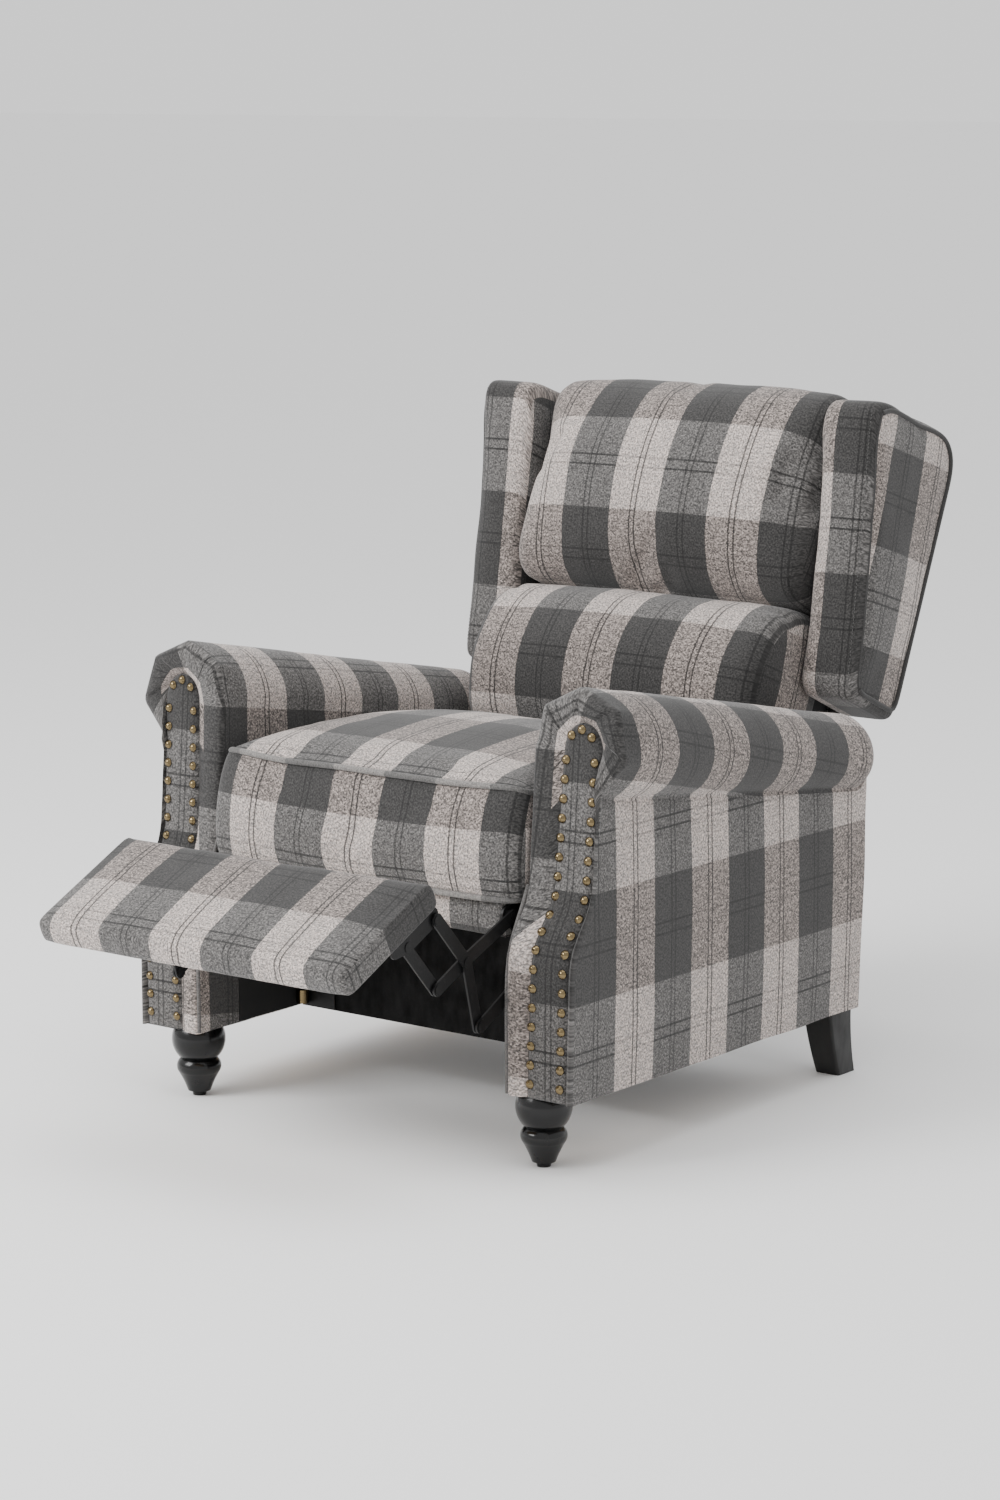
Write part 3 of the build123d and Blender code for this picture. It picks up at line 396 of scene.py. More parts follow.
GLOSS_BLACK = lacquer("gloss_black_lacquer", (0.0025, 0.0025, 0.0027), 0.22, coat=0.24, gloss=0.26)
SATIN_BLACK = lacquer("satin_black_lacquer", (0.0042, 0.0041, 0.0041), 0.46, coat=0.08, gloss=0.42)
FLAT_BLACK = lacquer("flat_black_paint", (0.0022, 0.0022, 0.0023), 0.7, coat=0.0, gloss=0.17)
PINE = sawn_wood("raw_pine", (0.44, 0.31, 0.18))
POWDER_BLACK = metal("black_powder_coat", (0.005, 0.005, 0.0053), 0.0, 0.42, 0.0016, (0.016, 0.016, 0.0165))
ZINC = metal("zinc_steel", (0.42, 0.42, 0.43), 1.0, 0.38, 0.0012)
BRASS = metal("antique_brass", (0.185, 0.140, 0.074), 1.0, 0.17, 0.002, (0.055, 0.039, 0.020))
NYLON = metal("pale_nylon", (0.6, 0.6, 0.57), 0.0, 0.5, 0.001)
print("finishes so far:", len(bpy.data.materials))

# %% [markdown]
# A sewn cover is built panel by panel. Each panel is a grid of points with a matching grid of cloth
# coordinates, so the stripes of one panel can start anew at a seam. `Cover` gathers the panels into one
# mesh, turns the faces outward and gives it the finish.

# %% Sewing helper
class Cover:
    """Points, faces and cloth coordinates of a sewn piece."""

    def __init__(self):
        self.points = []
        self.faces = []
        self.cloth = []

    def add(self, points):
        """Take in points and return their numbers."""
        points = np.asarray(points, float).reshape(-1, 3)
        first = len(self.points)
        self.points.extend(map(tuple, points))
        return np.arange(first, first + len(points))

    def face(self, numbers, cloth):
        """One face over point numbers, with a cloth coordinate for each."""
        self.faces.append([int(number) for number in numbers])
        self.cloth.append([tuple(spot) for spot in cloth])

    def panel(self, numbers, cloth):
        """A grid of faces over a grid of point numbers; a point that comes twice in a face is taken once."""
        numbers = np.asarray(numbers)
        cloth = np.asarray(cloth, float)
        for i in range(numbers.shape[0] - 1):
            for j in range(numbers.shape[1] - 1):
                kept = {}
                for spot in ((i, j), (i + 1, j), (i + 1, j + 1), (i, j + 1)):
                    kept.setdefault(numbers[spot], cloth[spot])
                if len(kept) > 2:
                    self.face(kept.keys(), kept.values())

    def build(self, name, finish):
        """Make the object: faces outward, smooth, with its cloth map."""
        mesh = bpy.data.meshes.new(name)
        mesh.from_pydata(self.points, [], self.faces)
        flat = np.array([corner for face in self.cloth for corner in face], np.float32)
        mesh.uv_layers.new(name="cloth").data.foreach_set("uv", flat.ravel())
        work = bmesh.new()
        work.from_mesh(mesh)
        bmesh.ops.recalc_face_normals(work, faces=work.faces)
        for face in work.faces:
            face.smooth = True
        work.to_mesh(mesh)
        work.free()
        mesh.materials.append(finish)
        return add_to_scene(name, mesh)


def run_of(points):
    """Distance along a line of points, from its first one."""
    steps = np.diff(np.asarray(points, float), axis=0)
    return np.r_[0.0, np.cumsum(np.linalg.norm(steps, axis=1))]


def sample(points, count):
    """Evenly spaced points along a line of points, both ends included."""
    line = np.asarray(points, float)
    run = run_of(line)
    marks = np.linspace(0.0, run[-1], count + 1)
    return np.column_stack([np.interp(marks, run, column) for column in line.T])


def as_sheet(piece, facing, thickness):
    """Turn the faces of a sheet forward (-1) or rearward (1), and give it its thickness behind them."""
    if facing * sum(face.normal.y * face.area for face in piece.data.polygons) < 0:
        piece.data.flip_normals()
    shell = piece.modifiers.new("thickness", "SOLIDIFY")
    shell.thickness = thickness
    shell.offset = -1.0
    return piece


print("cover helper ready")

# %% [markdown]
# A cushion is a row of outlines from one side to the other. Each outline has four soft corners and four
# sides, each side bowed out by the stuffing. Keeping four sides lets the end panels be filled with a neat
# grid, which the cloth simulation likes better than a fan of triangles.

# %% Cushion outlines
def rounded(before, corner, after, soft, shares):
    """Points of a soft corner, for some shares of the way round it."""
    start = corner + (before - corner) / np.linalg.norm(before - corner) * soft
    end = corner + (after - corner) / np.linalg.norm(after - corner) * soft
    return [(1 - share) ** 2 * start + 2 * share * (1 - share) * corner + share**2 * end for share in shares]


def soft_outline(corners, soft, bows, counts):
    """Four sides of a rounded outline; each runs from the middle of one corner to the middle of the next."""
    corners = [np.array(corner, float) for corner in corners]
    centre = sum(corners) / 4
    sides = []
    for k in range(4):
        before, here, there, after = (corners[(k + step) % 4] for step in (-1, 0, 1, 2))
        line = rounded(before, here, there, soft[k], np.linspace(0.5, 1.0, 6))
        line += rounded(here, there, after, soft[(k + 1) % 4], np.linspace(0.0, 0.5, 6))
        line = sample(line, 80)
        span = there - here
        length = np.linalg.norm(span)
        outward = np.array([span[1], -span[0]]) / length
        if np.dot((here + there) / 2 - centre, outward) < 0:
            outward = -outward
        share = np.clip(((line - here) @ span) / length**2, 0.0, 1.0)
        bow = bows[k] * 4 * share * (1 - share)
        sides.append(sample(line + np.outer(bow, outward), counts[k % 2]))
    return sides


def stations(half, step, close):
    """Places of the outlines from side to side, closer together where the edge turns."""
    inner = np.linspace(0.0, half - close[-1], max(2, int((half - close[-1]) / step) + 1))
    right = np.r_[inner, half - np.array(close[::-1])[1:]]
    return np.r_[-right[:0:-1], right]


def edge_turn(x, half, radius):
    """How far an outline draws in near the side, as on a rounded edge."""
    depth = np.clip(1 - (half - abs(x)) / radius, 0.0, 1.0)
    return radius * (1 - math.sqrt(1 - depth * depth))


print("outline helper ready")

# %% [markdown]
# The cover is sewn over its row of outlines: one panel for each of the four sides and one for each end. An
# end panel is filled from its four edges towards the middle, and may be domed a little. The numbers of the
# points are handed back, because held sides, seams and piping are found by them later.

# %% Cushion covers
def side_numbers(rows, counts, k):
    """Point numbers on one of the four sides of a cushion, a row for each of its outlines."""
    across, up = counts
    first = (0, across, across + up, 2 * across + up)[k]
    return rows[:, [(first + step) % rows.shape[1] for step in range(counts[k % 2] + 1)]]


def filled(sides, counts):
    """A grid of flat points between the four sides of an outline."""
    low, top = sides[0][:, None], sides[2][::-1, None]
    rear, front = sides[3][None, ::-1], sides[1][None]
    s = np.linspace(0.0, 1.0, counts[0] + 1)[:, None, None]
    t = np.linspace(0.0, 1.0, counts[1] + 1)[None, :, None]
    edge = (1 - t) * low + t * top + (1 - s) * rear + s * front
    pull = (1 - s) * ((1 - t) * low[:1] + t * top[:1]) + s * ((1 - t) * low[-1:] + t * top[-1:])
    return edge - pull


def stuffed(name, places, outline_at, put, side_cloth, end_cloth, counts, dome=0.0):
    """A closed cushion from a row of outlines. Returns the piece and the point numbers of its outlines."""
    cover = Cover()
    rings = [np.vstack([side[:-1] for side in outline_at(x)]) for x in places]
    rows = np.array([cover.add([put(x, point) for point in ring]) for x, ring in zip(places, rings)])
    middle_x = 0.5 * (places[0] + places[-1])
    for k, line in enumerate(outline_at(middle_x)):
        cloth = [[side_cloth(k, x, run, line) for run in run_of(line)] for x in places]
        cover.panel(side_numbers(rows, counts, k), cloth)
    across, up = counts
    inner = [(i, j) for i in range(1, across) for j in range(1, up)]
    bulge = [16 * i / across * (1 - i / across) * j / up * (1 - j / up) for i, j in inner]
    for end, x in ((0, places[0]), (-1, places[-1])):
        flat = filled(outline_at(x), counts)
        out = dome * (1 if x > middle_x else -1)
        grid = np.zeros((across + 1, up + 1), int)
        made = cover.add([put(x + out * rise, flat[spot]) for spot, rise in zip(inner, bulge)])
        for spot, number in zip(inner, made):
            grid[spot] = number
        for k, edge in enumerate((grid[:, 0], grid[-1], grid[::-1, -1], grid[0, ::-1])):
            edge[:] = side_numbers(rows, counts, k)[end]
        cover.panel(grid, [[end_cloth(x, point) for point in column] for column in flat])
    return cover.build(name, CHECK), rows


print("cushion helper ready")

# %% [markdown]
# Stuffing is what makes a cushion look soft. Blender's cloth blows each cover up with a little
# pressure while the side that lies on the frame is held. No point may go further than a set reach, so the
# cushion keeps its place. Afterwards a slow ripple, under three millimetres, takes away the machined look.

# %% Stuffing helper
CLOTH_SETTINGS = {
    "quality": 5, "mass": 0.2, "tension_stiffness": 22, "compression_stiffness": 22, "shear_stiffness": 8,
    "bending_stiffness": 1.2, "use_pressure": True, "vertex_group_mass": "held",
}
LAST_FRAME = 20


def where_now(piece, kind="co"):
    """The points of a piece as an array, or their normals."""
    flat = np.empty(len(piece.data.vertices) * 3)
    piece.data.vertices.foreach_get(kind, flat)
    return flat.reshape(-1, 3)


def set_points(piece, points):
    """Move the points of a piece."""
    piece.data.vertices.foreach_set("co", np.asarray(points, np.float32).ravel())
    piece.data.update()


def keep_within(piece, axis, low, high):
    """Flatten a piece where it would go past a limit along X (0) or Y (1)."""
    points = where_now(piece)
    points[:, axis] = np.clip(points[:, axis], low, high)
    set_points(piece, points)


def swell(piece, held, pressure, reach, spare):
    """Blow a cover up with cloth simulation, each point kept within its reach."""
    before = where_now(piece)
    group = piece.vertex_groups.new(name="held")
    group.add([int(number) for number in held], 1.0, "REPLACE")
    cloth = piece.modifiers.new("stuffing", "CLOTH")
    for key, value in CLOTH_SETTINGS.items():
        setattr(cloth.settings, key, value)
    cloth.settings.uniform_pressure_force = pressure
    cloth.settings.shrink_min = -spare
    cloth.settings.effector_weights.gravity = 0.0
    cloth.collision_settings.use_collision = False
    cloth.collision_settings.use_self_collision = False
    cloth.point_cache.frame_start = 1
    cloth.point_cache.frame_end = LAST_FRAME
    for number in range(1, LAST_FRAME + 1):
        bpy.context.scene.frame_set(number)
    moved = where_now(piece.evaluated_get(bpy.context.evaluated_depsgraph_get())) - before
    piece.modifiers.remove(cloth)
    piece.vertex_groups.remove(group)
    bpy.context.scene.frame_set(1)
    length = np.linalg.norm(moved, axis=1)
    keep = np.where(length > reach, reach / np.maximum(length, 1e-9), 1.0)
    set_points(piece, before + moved * keep[:, None])
    return float(length.max())


def ripple(piece, size, height, held=()):
    """A slow unevenness along the normals."""
    points = where_now(piece)
    lift = np.array([noise.fractal(Vector(point) / size, 1.0, 2.0, 2) for point in points])
    lift[list(map(int, held))] = 0.0
    set_points(piece, points + where_now(piece, "normal") * (lift * height)[:, None])


def finer(piece):
    """One level of subdivision, the same in the view and in the render."""
    smooth = piece.modifiers.new("finer", "SUBSURF")
    smooth.levels = 1
    smooth.render_levels = 1


def in_mm(length):
    """A length in millimetres, to one decimal."""
    return round(length * 1000, 1)


print("stuffing helper ready, quick look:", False)

# %% [markdown]
# The seat cushion is a tall box with a crowned top. Its front panel leans out a little and has a
# piping along the top and bottom edges; its stripes run up the front and over the top, front to back.
# The small numbers in its cloth functions, and in those of the other covers, slide the pattern on each
# panel until its stripes and bands fall where the photograph has them.

# %% Seat cushion
ARM_FRONT = -0.323
SEAT_FRONT = ARM_FRONT + 0.008
SEAT_REAR = ARM_FRONT + 0.545
SEAT_HALF = 0.2595
SEAT_LIMIT = 0.2622
SEAT_BASE = 0.3455
SEAT_EDGE = 0.494
SEAT_BAND = 0.512
SEAT_COUNTS = (52, 15)
ROW_STEP = 0.0105


def seat_outline(x):
    """Outline of the seat from the rear foot, forward, up the front and back over the top."""
    share = abs(x) / SEAT_HALF
    draw = edge_turn(x, SEAT_HALF, 0.016)
    crown = 1 - 0.75 * share**3.2
    corners = (
        (SEAT_REAR - 0.004, SEAT_BASE),
        (SEAT_FRONT + 0.012 + 0.010 * share**6 + draw, SEAT_BASE),
        (SEAT_FRONT + 0.023 + 0.016 * share**6 + draw, SEAT_EDGE - 0.6 * draw),
        (SEAT_REAR - 0.012, 0.470 - draw),
    )
    bows = (0.0, 0.014, 0.041 * crown, 0.004)
    return soft_outline(corners, (0.012, 0.008, 0.006, 0.07), bows, SEAT_COUNTS)


def seat_side_cloth(k, x, run, line):
    """Stripes up the front and over the top; the bands of the top panel start anew at its piping."""
    rise = {0: -run, 1: run + 0.005, 2: run + 0.008, 3: run + 0.68}[k]
    return (x + 0.004, rise + SEAT_BASE - SEAT_BAND)


def seat_end_cloth(x, point):
    """Side panels, cut with the stripes upright."""
    return (point[0] + 0.06, point[1] - SEAT_BAND)


seat_places = stations(SEAT_HALF, ROW_STEP, (0.0, 0.002, 0.006, 0.011, 0.017))
seat, seat_rows = stuffed("seat_cushion_cover", seat_places, seat_outline, lambda x, point: (x, *point),
                          seat_side_cloth, seat_end_cloth, SEAT_COUNTS)
seat_held = side_numbers(seat_rows, SEAT_COUNTS, 0).ravel()
grown = swell(seat, seat_held, pressure=2.2, reach=0.007, spare=0.004)
ripple(seat, 0.11, 0.0028, seat_held)
keep_within(seat, 0, -SEAT_LIMIT, SEAT_LIMIT)
keep_within(seat, 1, ARM_FRONT - 0.004, SEAT_REAR)
print("seat points:", len(seat.data.vertices), "swelled by up to", in_mm(grown), "mm")

# %% [markdown]
# Below its front piping the seat cover runs on as an apron: it comes down over the front rail of the seat
# frame and is stapled underneath. It is a plain folded strip, so a short line and a width are all it needs.

# %% Seat apron
rail_low, rail_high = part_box("seat_frame")
rail_y, rail_foot, rail_top = rail_low[1], rail_low[2], rail_high[2]
apron_line = sample([
    (rail_y + 0.004, rail_top + 0.0028), (rail_y - 0.004, rail_top + 0.0015),
    (rail_y - 0.0065, rail_top - 0.012), (rail_y - 0.0055, rail_foot + 0.010),
    (rail_y - 0.0025, rail_foot - 0.0010), (rail_y + 0.003, rail_foot - 0.0032),
    (rail_y + 0.026, rail_foot - 0.0040)], 18)
apron_half = rail_high[0] - 0.002
apron_cover = Cover()
apron_x = np.linspace(-apron_half, apron_half, 46)
apron_rows = [apron_cover.add([(x, y, z) for x in apron_x]) for y, z in apron_line]
# The apron's stripes are set off from the seat front so a dark stripe covers its visible part, as painted
# shade under the seat's front edge
apron_cover.panel(apron_rows, [[(x + 0.064, -run - 0.166) for x in apron_x] for run in run_of(apron_line)])
apron = as_sheet(apron_cover.build("seat_apron", CHECK), -1, 0.0012)
ripple(apron, 0.06, 0.0008)
print("apron drops from", round(rail_top, 3), "to", round(rail_foot, 3))

# %% [markdown]
# The lower back cushion bulges forward over the seat; the upper one is a tall pad that rolls over at the
# top. Both stand in the plane of the leaning back: one direction runs through the back, the other up it.

# %% Back cushions
RAKE = math.radians(23.5)
BACK_Y = ARM_FRONT + 0.807
BACK_Z = 0.490
PILLOW_HALF = 0.249
PILLOW_REAR = -0.0605
PILLOW_SOFT = 0.022
BETWEEN_WINGS = 0.2565
LUMBAR_COUNTS = (16, 28)
HEAD_COUNTS = (16, 34)


def on_back(x, point):
    """A point of the leaning back: through it first, up it second."""
    through, up = point
    return (x, BACK_Y + through * math.cos(RAKE) + up * math.sin(RAKE),
            BACK_Z - through * math.sin(RAKE) + up * math.cos(RAKE))


def lumbar_outline(x):
    """Outline of the lower cushion: foot, front, top, rear."""
    share = abs(x) / PILLOW_HALF
    draw = edge_turn(x, PILLOW_HALF, PILLOW_SOFT)
    crown = 1 - 0.62 * share**3
    corners = (
        (PILLOW_REAR, -0.124 + 0.5 * draw),
        (-0.206 + 0.004 * share**4 + draw, -0.124 + 0.9 * draw),
        (-0.196 + 0.004 * share**4 + draw, 0.110 - 0.9 * draw),
        (PILLOW_REAR, 0.112 - 0.5 * draw),
    )
    bows = (0.0, 0.028 + 0.026 * crown, 0.003, 0.0)
    return soft_outline(corners, (0.012, 0.04, 0.05, 0.02), bows, LUMBAR_COUNTS)


def head_outline(x):
    """Outline of the upper cushion: foot, front, top, rear."""
    share = abs(x) / PILLOW_HALF
    draw = edge_turn(x, PILLOW_HALF, PILLOW_SOFT)
    crown = 1 - 0.7 * share**3
    corners = (
        (PILLOW_REAR, 0.121 + 0.5 * draw),
        (-0.190 + 0.004 * share**4 + draw, 0.119 + 0.9 * draw),
        (-0.192 + 0.004 * share**4 + draw, 0.437 - 0.006 * share**6 - 0.9 * draw),
        (PILLOW_REAR, 0.424 - 0.5 * draw),
    )
    bows = (0.0, 0.014 + 0.016 * crown, 0.014 * crown, 0.0)
    return soft_outline(corners, (0.02, 0.04, 0.045, 0.045), bows, HEAD_COUNTS)


def back_cushion(name, outline, counts, light_at, dark_at, ends):
    """A stuffed back cushion, with a light stripe and a dark band at the given places of its front."""
    def side_cloth(k, x, run, line):
        start = line[0][1] + {0: -0.13, 3: 0.14}.get(k, 0.0)
        return (x - light_at, start + run - dark_at)

    def end_cloth(x, point):
        return (-point[0] - 0.13 + ends[x > 0], point[1] - dark_at)

    places = stations(PILLOW_HALF, ROW_STEP, (0.0, 0.002, 0.006, 0.012, 0.019, 0.027))
    cushion, rows = stuffed(name, places, outline, on_back, side_cloth, end_cloth, counts, dome=0.004)
    held = side_numbers(rows, counts, 3).ravel()
    grown = swell(cushion, held, pressure=3.0, reach=0.014, spare=0.004)
    keep_within(cushion, 0, -BETWEEN_WINGS, BETWEEN_WINGS)
    ripple(cushion, 0.10, 0.0030, held)
    print(name, "swelled by up to", in_mm(grown), "mm")
    return cushion


lumbar = back_cushion("lumbar_cushion_cover", lumbar_outline, LUMBAR_COUNTS, -0.016, 0.006, (0.086, 0.0))
head = back_cushion("head_cushion_cover", head_outline, HEAD_COUNTS, -0.025, 0.155, (0.086, 0.051))

# %% [markdown]
# The footrest is a thin board with a flat pad over it. The cover is pulled round the board, so the corners
# are tight and the long edges stay fairly crisp.

# %% Footrest pad
TILT = math.radians(26.0)
FOOT_HINGE = (ARM_FRONT - 0.130, 0.351)
FOOT_HALF = 0.258
FOOT_BAND = 0.026
FOOT_COUNTS = (20, 6)


def on_footrest(x, point):
    """A point of the footrest: along it first, out through its top second."""
    along, out = point
    return (x, FOOT_HINGE[0] - along * math.cos(TILT) - out * math.sin(TILT),
            FOOT_HINGE[1] - along * math.sin(TILT) + out * math.cos(TILT))


def foot_outline(x):
    """Outline of the pad: underside, front edge, top, rear edge."""
    share = abs(x) / FOOT_HALF
    draw = edge_turn(x, FOOT_HALF, 0.0038)
    corners = (
        (-0.010 + draw, 0.0165),
        (0.191 - draw - 0.003 * share**8, 0.0165),
        (0.190 - draw - 0.003 * share**8, 0.0525 - 0.8 * draw),
        (-0.009 + draw, 0.0525 - 0.8 * draw),
    )
    bows = (0.0, 0.002, 0.006 * (1 - share**4), 0.002)
    return soft_outline(corners, (0.005, 0.006, 0.006, 0.007), bows, FOOT_COUNTS)


def foot_side_cloth(k, x, run, line):
    """Stripes along the footrest, a dark band towards the seat."""
    along = {0: run - 0.010, 1: 0.191 + run, 2: 0.190 - run, 3: -0.010 - run}[k]
    return (x + 0.020, along - FOOT_BAND)


def foot_end_cloth(x, point):
    """Ends of the pad, with the paired threads near the top edge."""
    return (point[1] + 0.04, point[0] - FOOT_BAND)


foot_places = stations(FOOT_HALF, ROW_STEP, (0.0, 0.0012, 0.0032, 0.0075))
footrest, foot_rows = stuffed("footrest_pad_cover", foot_places, foot_outline, on_footrest,
                              foot_side_cloth, foot_end_cloth, FOOT_COUNTS)
foot_ends = np.r_[foot_rows[:3].ravel(), foot_rows[-3:].ravel(), foot_rows.size:len(footrest.data.vertices)]
foot_held = np.r_[side_numbers(foot_rows, FOOT_COUNTS, 0).ravel(), foot_ends]
grown = swell(footrest, foot_held, pressure=1.2, reach=0.004, spare=0.003)
ripple(footrest, 0.09, 0.0018, foot_held)
print("footrest pad swelled by up to", in_mm(grown), "mm")

# %% [markdown]
# The wings are boards with a thin wadding. The inner cover wraps round the front edge to a seam on the
# outer side; the outer panel is sewn in behind it, with a dark piping along the rear. The outline is the
# same kind of rounded ring, seen from the side, and the row of outlines runs across its thickness.

# %% Wings
WING_IN = 0.2585
WING_OUT = 0.3465
WING_COUNTS = (20, 38)
WING_DARK_AT = {"right": 0.382, "left": 0.459}
# Cosine and sine of the slant of the outer panel's stripes
SLANT = (0.9934, 0.115)


def wing_outline_at(middle, half):
    """The ring of a wing at a place across its thickness."""
    def outline(x):
        draw = edge_turn(x - middle, half, 0.014)
        crisp = edge_turn(x - middle, half, 0.005) if (x - middle) * middle > 0 else draw
        corners = (
            (-crisp, -0.0015 + draw),
            (-0.1255 + draw, -0.0015 + draw),
            (-0.2420 + draw, 0.4050 - 1.5 * crisp),
            (-crisp, 0.4215 - crisp),
        )
        return soft_outline(corners, (0.012, 0.018, 0.034, 0.055), (0.0, -0.004, 0.004, 0.0), WING_COUNTS)
    return outline


def wing_cloth(dark_at):
    """Stripes of a wing: near upright on the outer panel, wrapped from the front to the inner face."""
    def ring(k, x, run, line):
        rise = {0: -run, 1: run - dark_at, 2: 0.405 + run - dark_at, 3: 0.4 - run}[k]
        return (abs(x) - 0.244, rise)

    def end(x, point):
        if abs(x) > (WING_IN + WING_OUT) / 2:
            through, up = point[0] + 0.09, point[1] - 0.20
            return (SLANT[0] * through + SLANT[1] * up - 0.063, SLANT[0] * up - SLANT[1] * through - 0.093)
        lead = -0.1245 + (point[1] / 0.4035) * -0.117
        return (-0.026 - (point[0] - lead), point[1] * 1.03 - dark_at)

    return ring, end


wings, swelled = {}, []
for label, side in SIDES.items():
    middle = side * (WING_IN + WING_OUT) / 2
    half = (WING_OUT - WING_IN) / 2
    places = middle + stations(half, 0.011, (0.0, 0.0015, 0.004, 0.008, 0.014))
    wing, wing_rows = stuffed(f"wing_cover_{label}", places, wing_outline_at(middle, half), on_back,
                              *wing_cloth(WING_DARK_AT[label]), WING_COUNTS, dome=0.003)
    held = np.hstack([side_numbers(wing_rows, WING_COUNTS, k).ravel() for k in (0, 3)])
    swelled.append(swell(wing, held, pressure=1.2, reach=0.004, spare=0.0))
    ripple(wing, 0.08, 0.0022, held)
    wings[label] = (wing, wing_rows)
print("wings made:", sorted(wings), "swelled by up to", in_mm(max(swelled)), "mm")

# %% [markdown]
# An arm is a flat panel with a roll on top. The roll slopes down and tapers towards the rear, and the whole
# front is cut to a swept line. Each outline is worked out at its own place along the arm, and its points
# are then slid so that they start on the swept line. At the front of the roll the cover is folded into
# five flat pleats round the scroll, so the outline turns from round to many-sided over the last few
# centimetres. The cloth runs on over the front edge to the nailed strip.

# %% Arm shape
ARM_IN = 0.2662
ARM_OUT = 0.3700
ARM_LENGTH = 0.700
ARM_REAR = ARM_FRONT + ARM_LENGTH
LEG_H = 0.098
ROLL_X = 0.339
# Middle and radius of the roll at the front, and how much each loses towards the rear
ROLL_Z, ROLL_DROP = 0.569, 0.109
ROLL_R, ROLL_TAPER = 0.076, 0.022
# The roll draws in by REAR_DRAW over the last REAR_SOFT; its pleats fade out within FOLD_RUN of the front
REAR_DRAW, REAR_SOFT = 0.016, 0.026
FOLD_RUN = 0.055
LEAN_FROM = 0.36
NECK_DROP = 0.008
TUCK = 0.0025
SWEEP_Z = (0.098, 0.262, 0.283, 0.302, 0.322, 0.346, 0.372, 0.400, 0.649)
SWEEP_Y = (0.000, 0.000, 0.002, 0.0075, 0.020, 0.0375, 0.0462, 0.0487, 0.066)
PLEATS = np.radians((196.0, 143.0, 92.0, 40.0, -14.0, -70.0))
# How many steps the outline takes up the inside, round the roll, in under it and down the outside
INNER, ROLL, NECK, OUTER = 20, 52, 3, 28
ROLL_END = INNER + ROLL
SEAM = ROLL_END + NECK
ARM_POINTS = SEAM + OUTER + 1
# Shares of the arm's length where the rows of the cover lie, closer together at both ends
FRONT_SHARES = (0.0, 0.006, 0.014, 0.025, 0.04, 0.06)
REAR_SHARES = (0.965, 0.98, 0.99, 1.0)
ARM_SHARES = np.hstack([FRONT_SHARES, np.linspace(0.085, 0.95, 52), REAR_SHARES])


def front_y(z):
    """Where the front of an arm lies at a height, behind the nailed strip."""
    return ARM_FRONT + 0.005 + np.interp(z, SWEEP_Z, SWEEP_Y)


def rear_y(z):
    """Where the rear of an arm lies at a height."""
    return ARM_REAR - 0.011 * np.clip((0.408 - z) / 0.31, 0.0, 1.0)


def pleated(angle, radius, share):
    """Radius of the roll, flattened between the pleats by a share."""
    inside = np.searchsorted(-PLEATS, -angle, side="right")
    inside = int(np.clip(inside, 1, len(PLEATS) - 1))
    first, last = PLEATS[inside - 1], PLEATS[inside]
    flat = radius * math.cos((first - last) / 2) / math.cos(angle - (first + last) / 2)
    return radius + share * (flat * 1.02 - radius)


def arm_point(number, y):
    """(x, z) of a point of the arm's outline, counted from the inner foot over the roll to the outer one."""
    part = np.clip((y - ARM_FRONT) / ARM_LENGTH, -0.1, 1.0)
    draw = REAR_DRAW * np.clip(1 - (ARM_REAR - y) / REAR_SOFT, 0.0, 1.0) ** 2
    radius = ROLL_R - ROLL_TAPER * part - draw
    centre = ROLL_Z - ROLL_DROP * part
    fold = np.clip(1 - (y - front_y(centre + radius * 0.5)) / FOLD_RUN, 0.0, 1.0) ** 1.5
    if number <= INNER:
        top = centre - 0.012
        z = LEG_H + (top - LEG_H) * number / INNER
        lean = np.clip((z - LEAN_FROM) / (top - LEAN_FROM), 0.0, 1.0) ** 2
        return ARM_IN + 0.0012 + lean * (ROLL_X - radius - ARM_IN), z
    seam_angle = -math.acos((ARM_OUT + 0.001 - ROLL_X) / radius)
    angle = max(seam_angle, math.pi + (seam_angle - math.pi) * (number - INNER) / ROLL)
    size = pleated(angle, radius, fold)
    round_x, round_z = ROLL_X + size * math.cos(angle), centre + size * math.sin(angle)
    if number <= ROLL_END:
        return round_x, round_z
    neck = round_z - NECK_DROP
    if number <= SEAM:
        share = (number - ROLL_END) / NECK
        tuck = TUCK * math.sin(math.pi * share)
        return round_x + (ARM_OUT - round_x) * share - tuck, round_z + (neck - round_z) * share
    share = (number - SEAM) / OUTER
    return ARM_OUT + TUCK * math.sin(math.pi * share), neck + (LEG_H - neck) * share


def arm_grid():
    """Points of the right arm's cover: a row for each share of its length, from front to rear."""
    grid = np.zeros((len(ARM_SHARES), ARM_POINTS, 3))
    for j in range(ARM_POINTS):
        for i, share in enumerate(ARM_SHARES):
            y = ARM_FRONT + share * ARM_LENGTH
            for _ in range(5):
                x, z = arm_point(j, y)
                y = front_y(z) + share * (rear_y(z) - front_y(z))
            grid[i, j] = (x, y, z)
    return grid


right_arm = arm_grid()
print("arm outline:", ARM_POINTS, "points,", len(ARM_SHARES), "rows")

# %% [markdown]
# Two things are settled before the arms are sewn: the outline of the nailed strip, which the front has to
# meet point for point, and where the pattern lies. Stripes run up the panels and over the roll, bands run
# along the arm.

# %% Strip outline and arm cloth
STRIP_FOOT = (0.298, 0.362)
STRIP_HEAD = (0.313, 0.374)
ARCH_Z = 0.548
ARCH_RISE = 0.038
ROLL_BAND = 0.2115
SIDE_BAND = 0.298
TURN_BACK = 0.297
LIGHT_AT = {"right": -0.011, "left": 0.004}


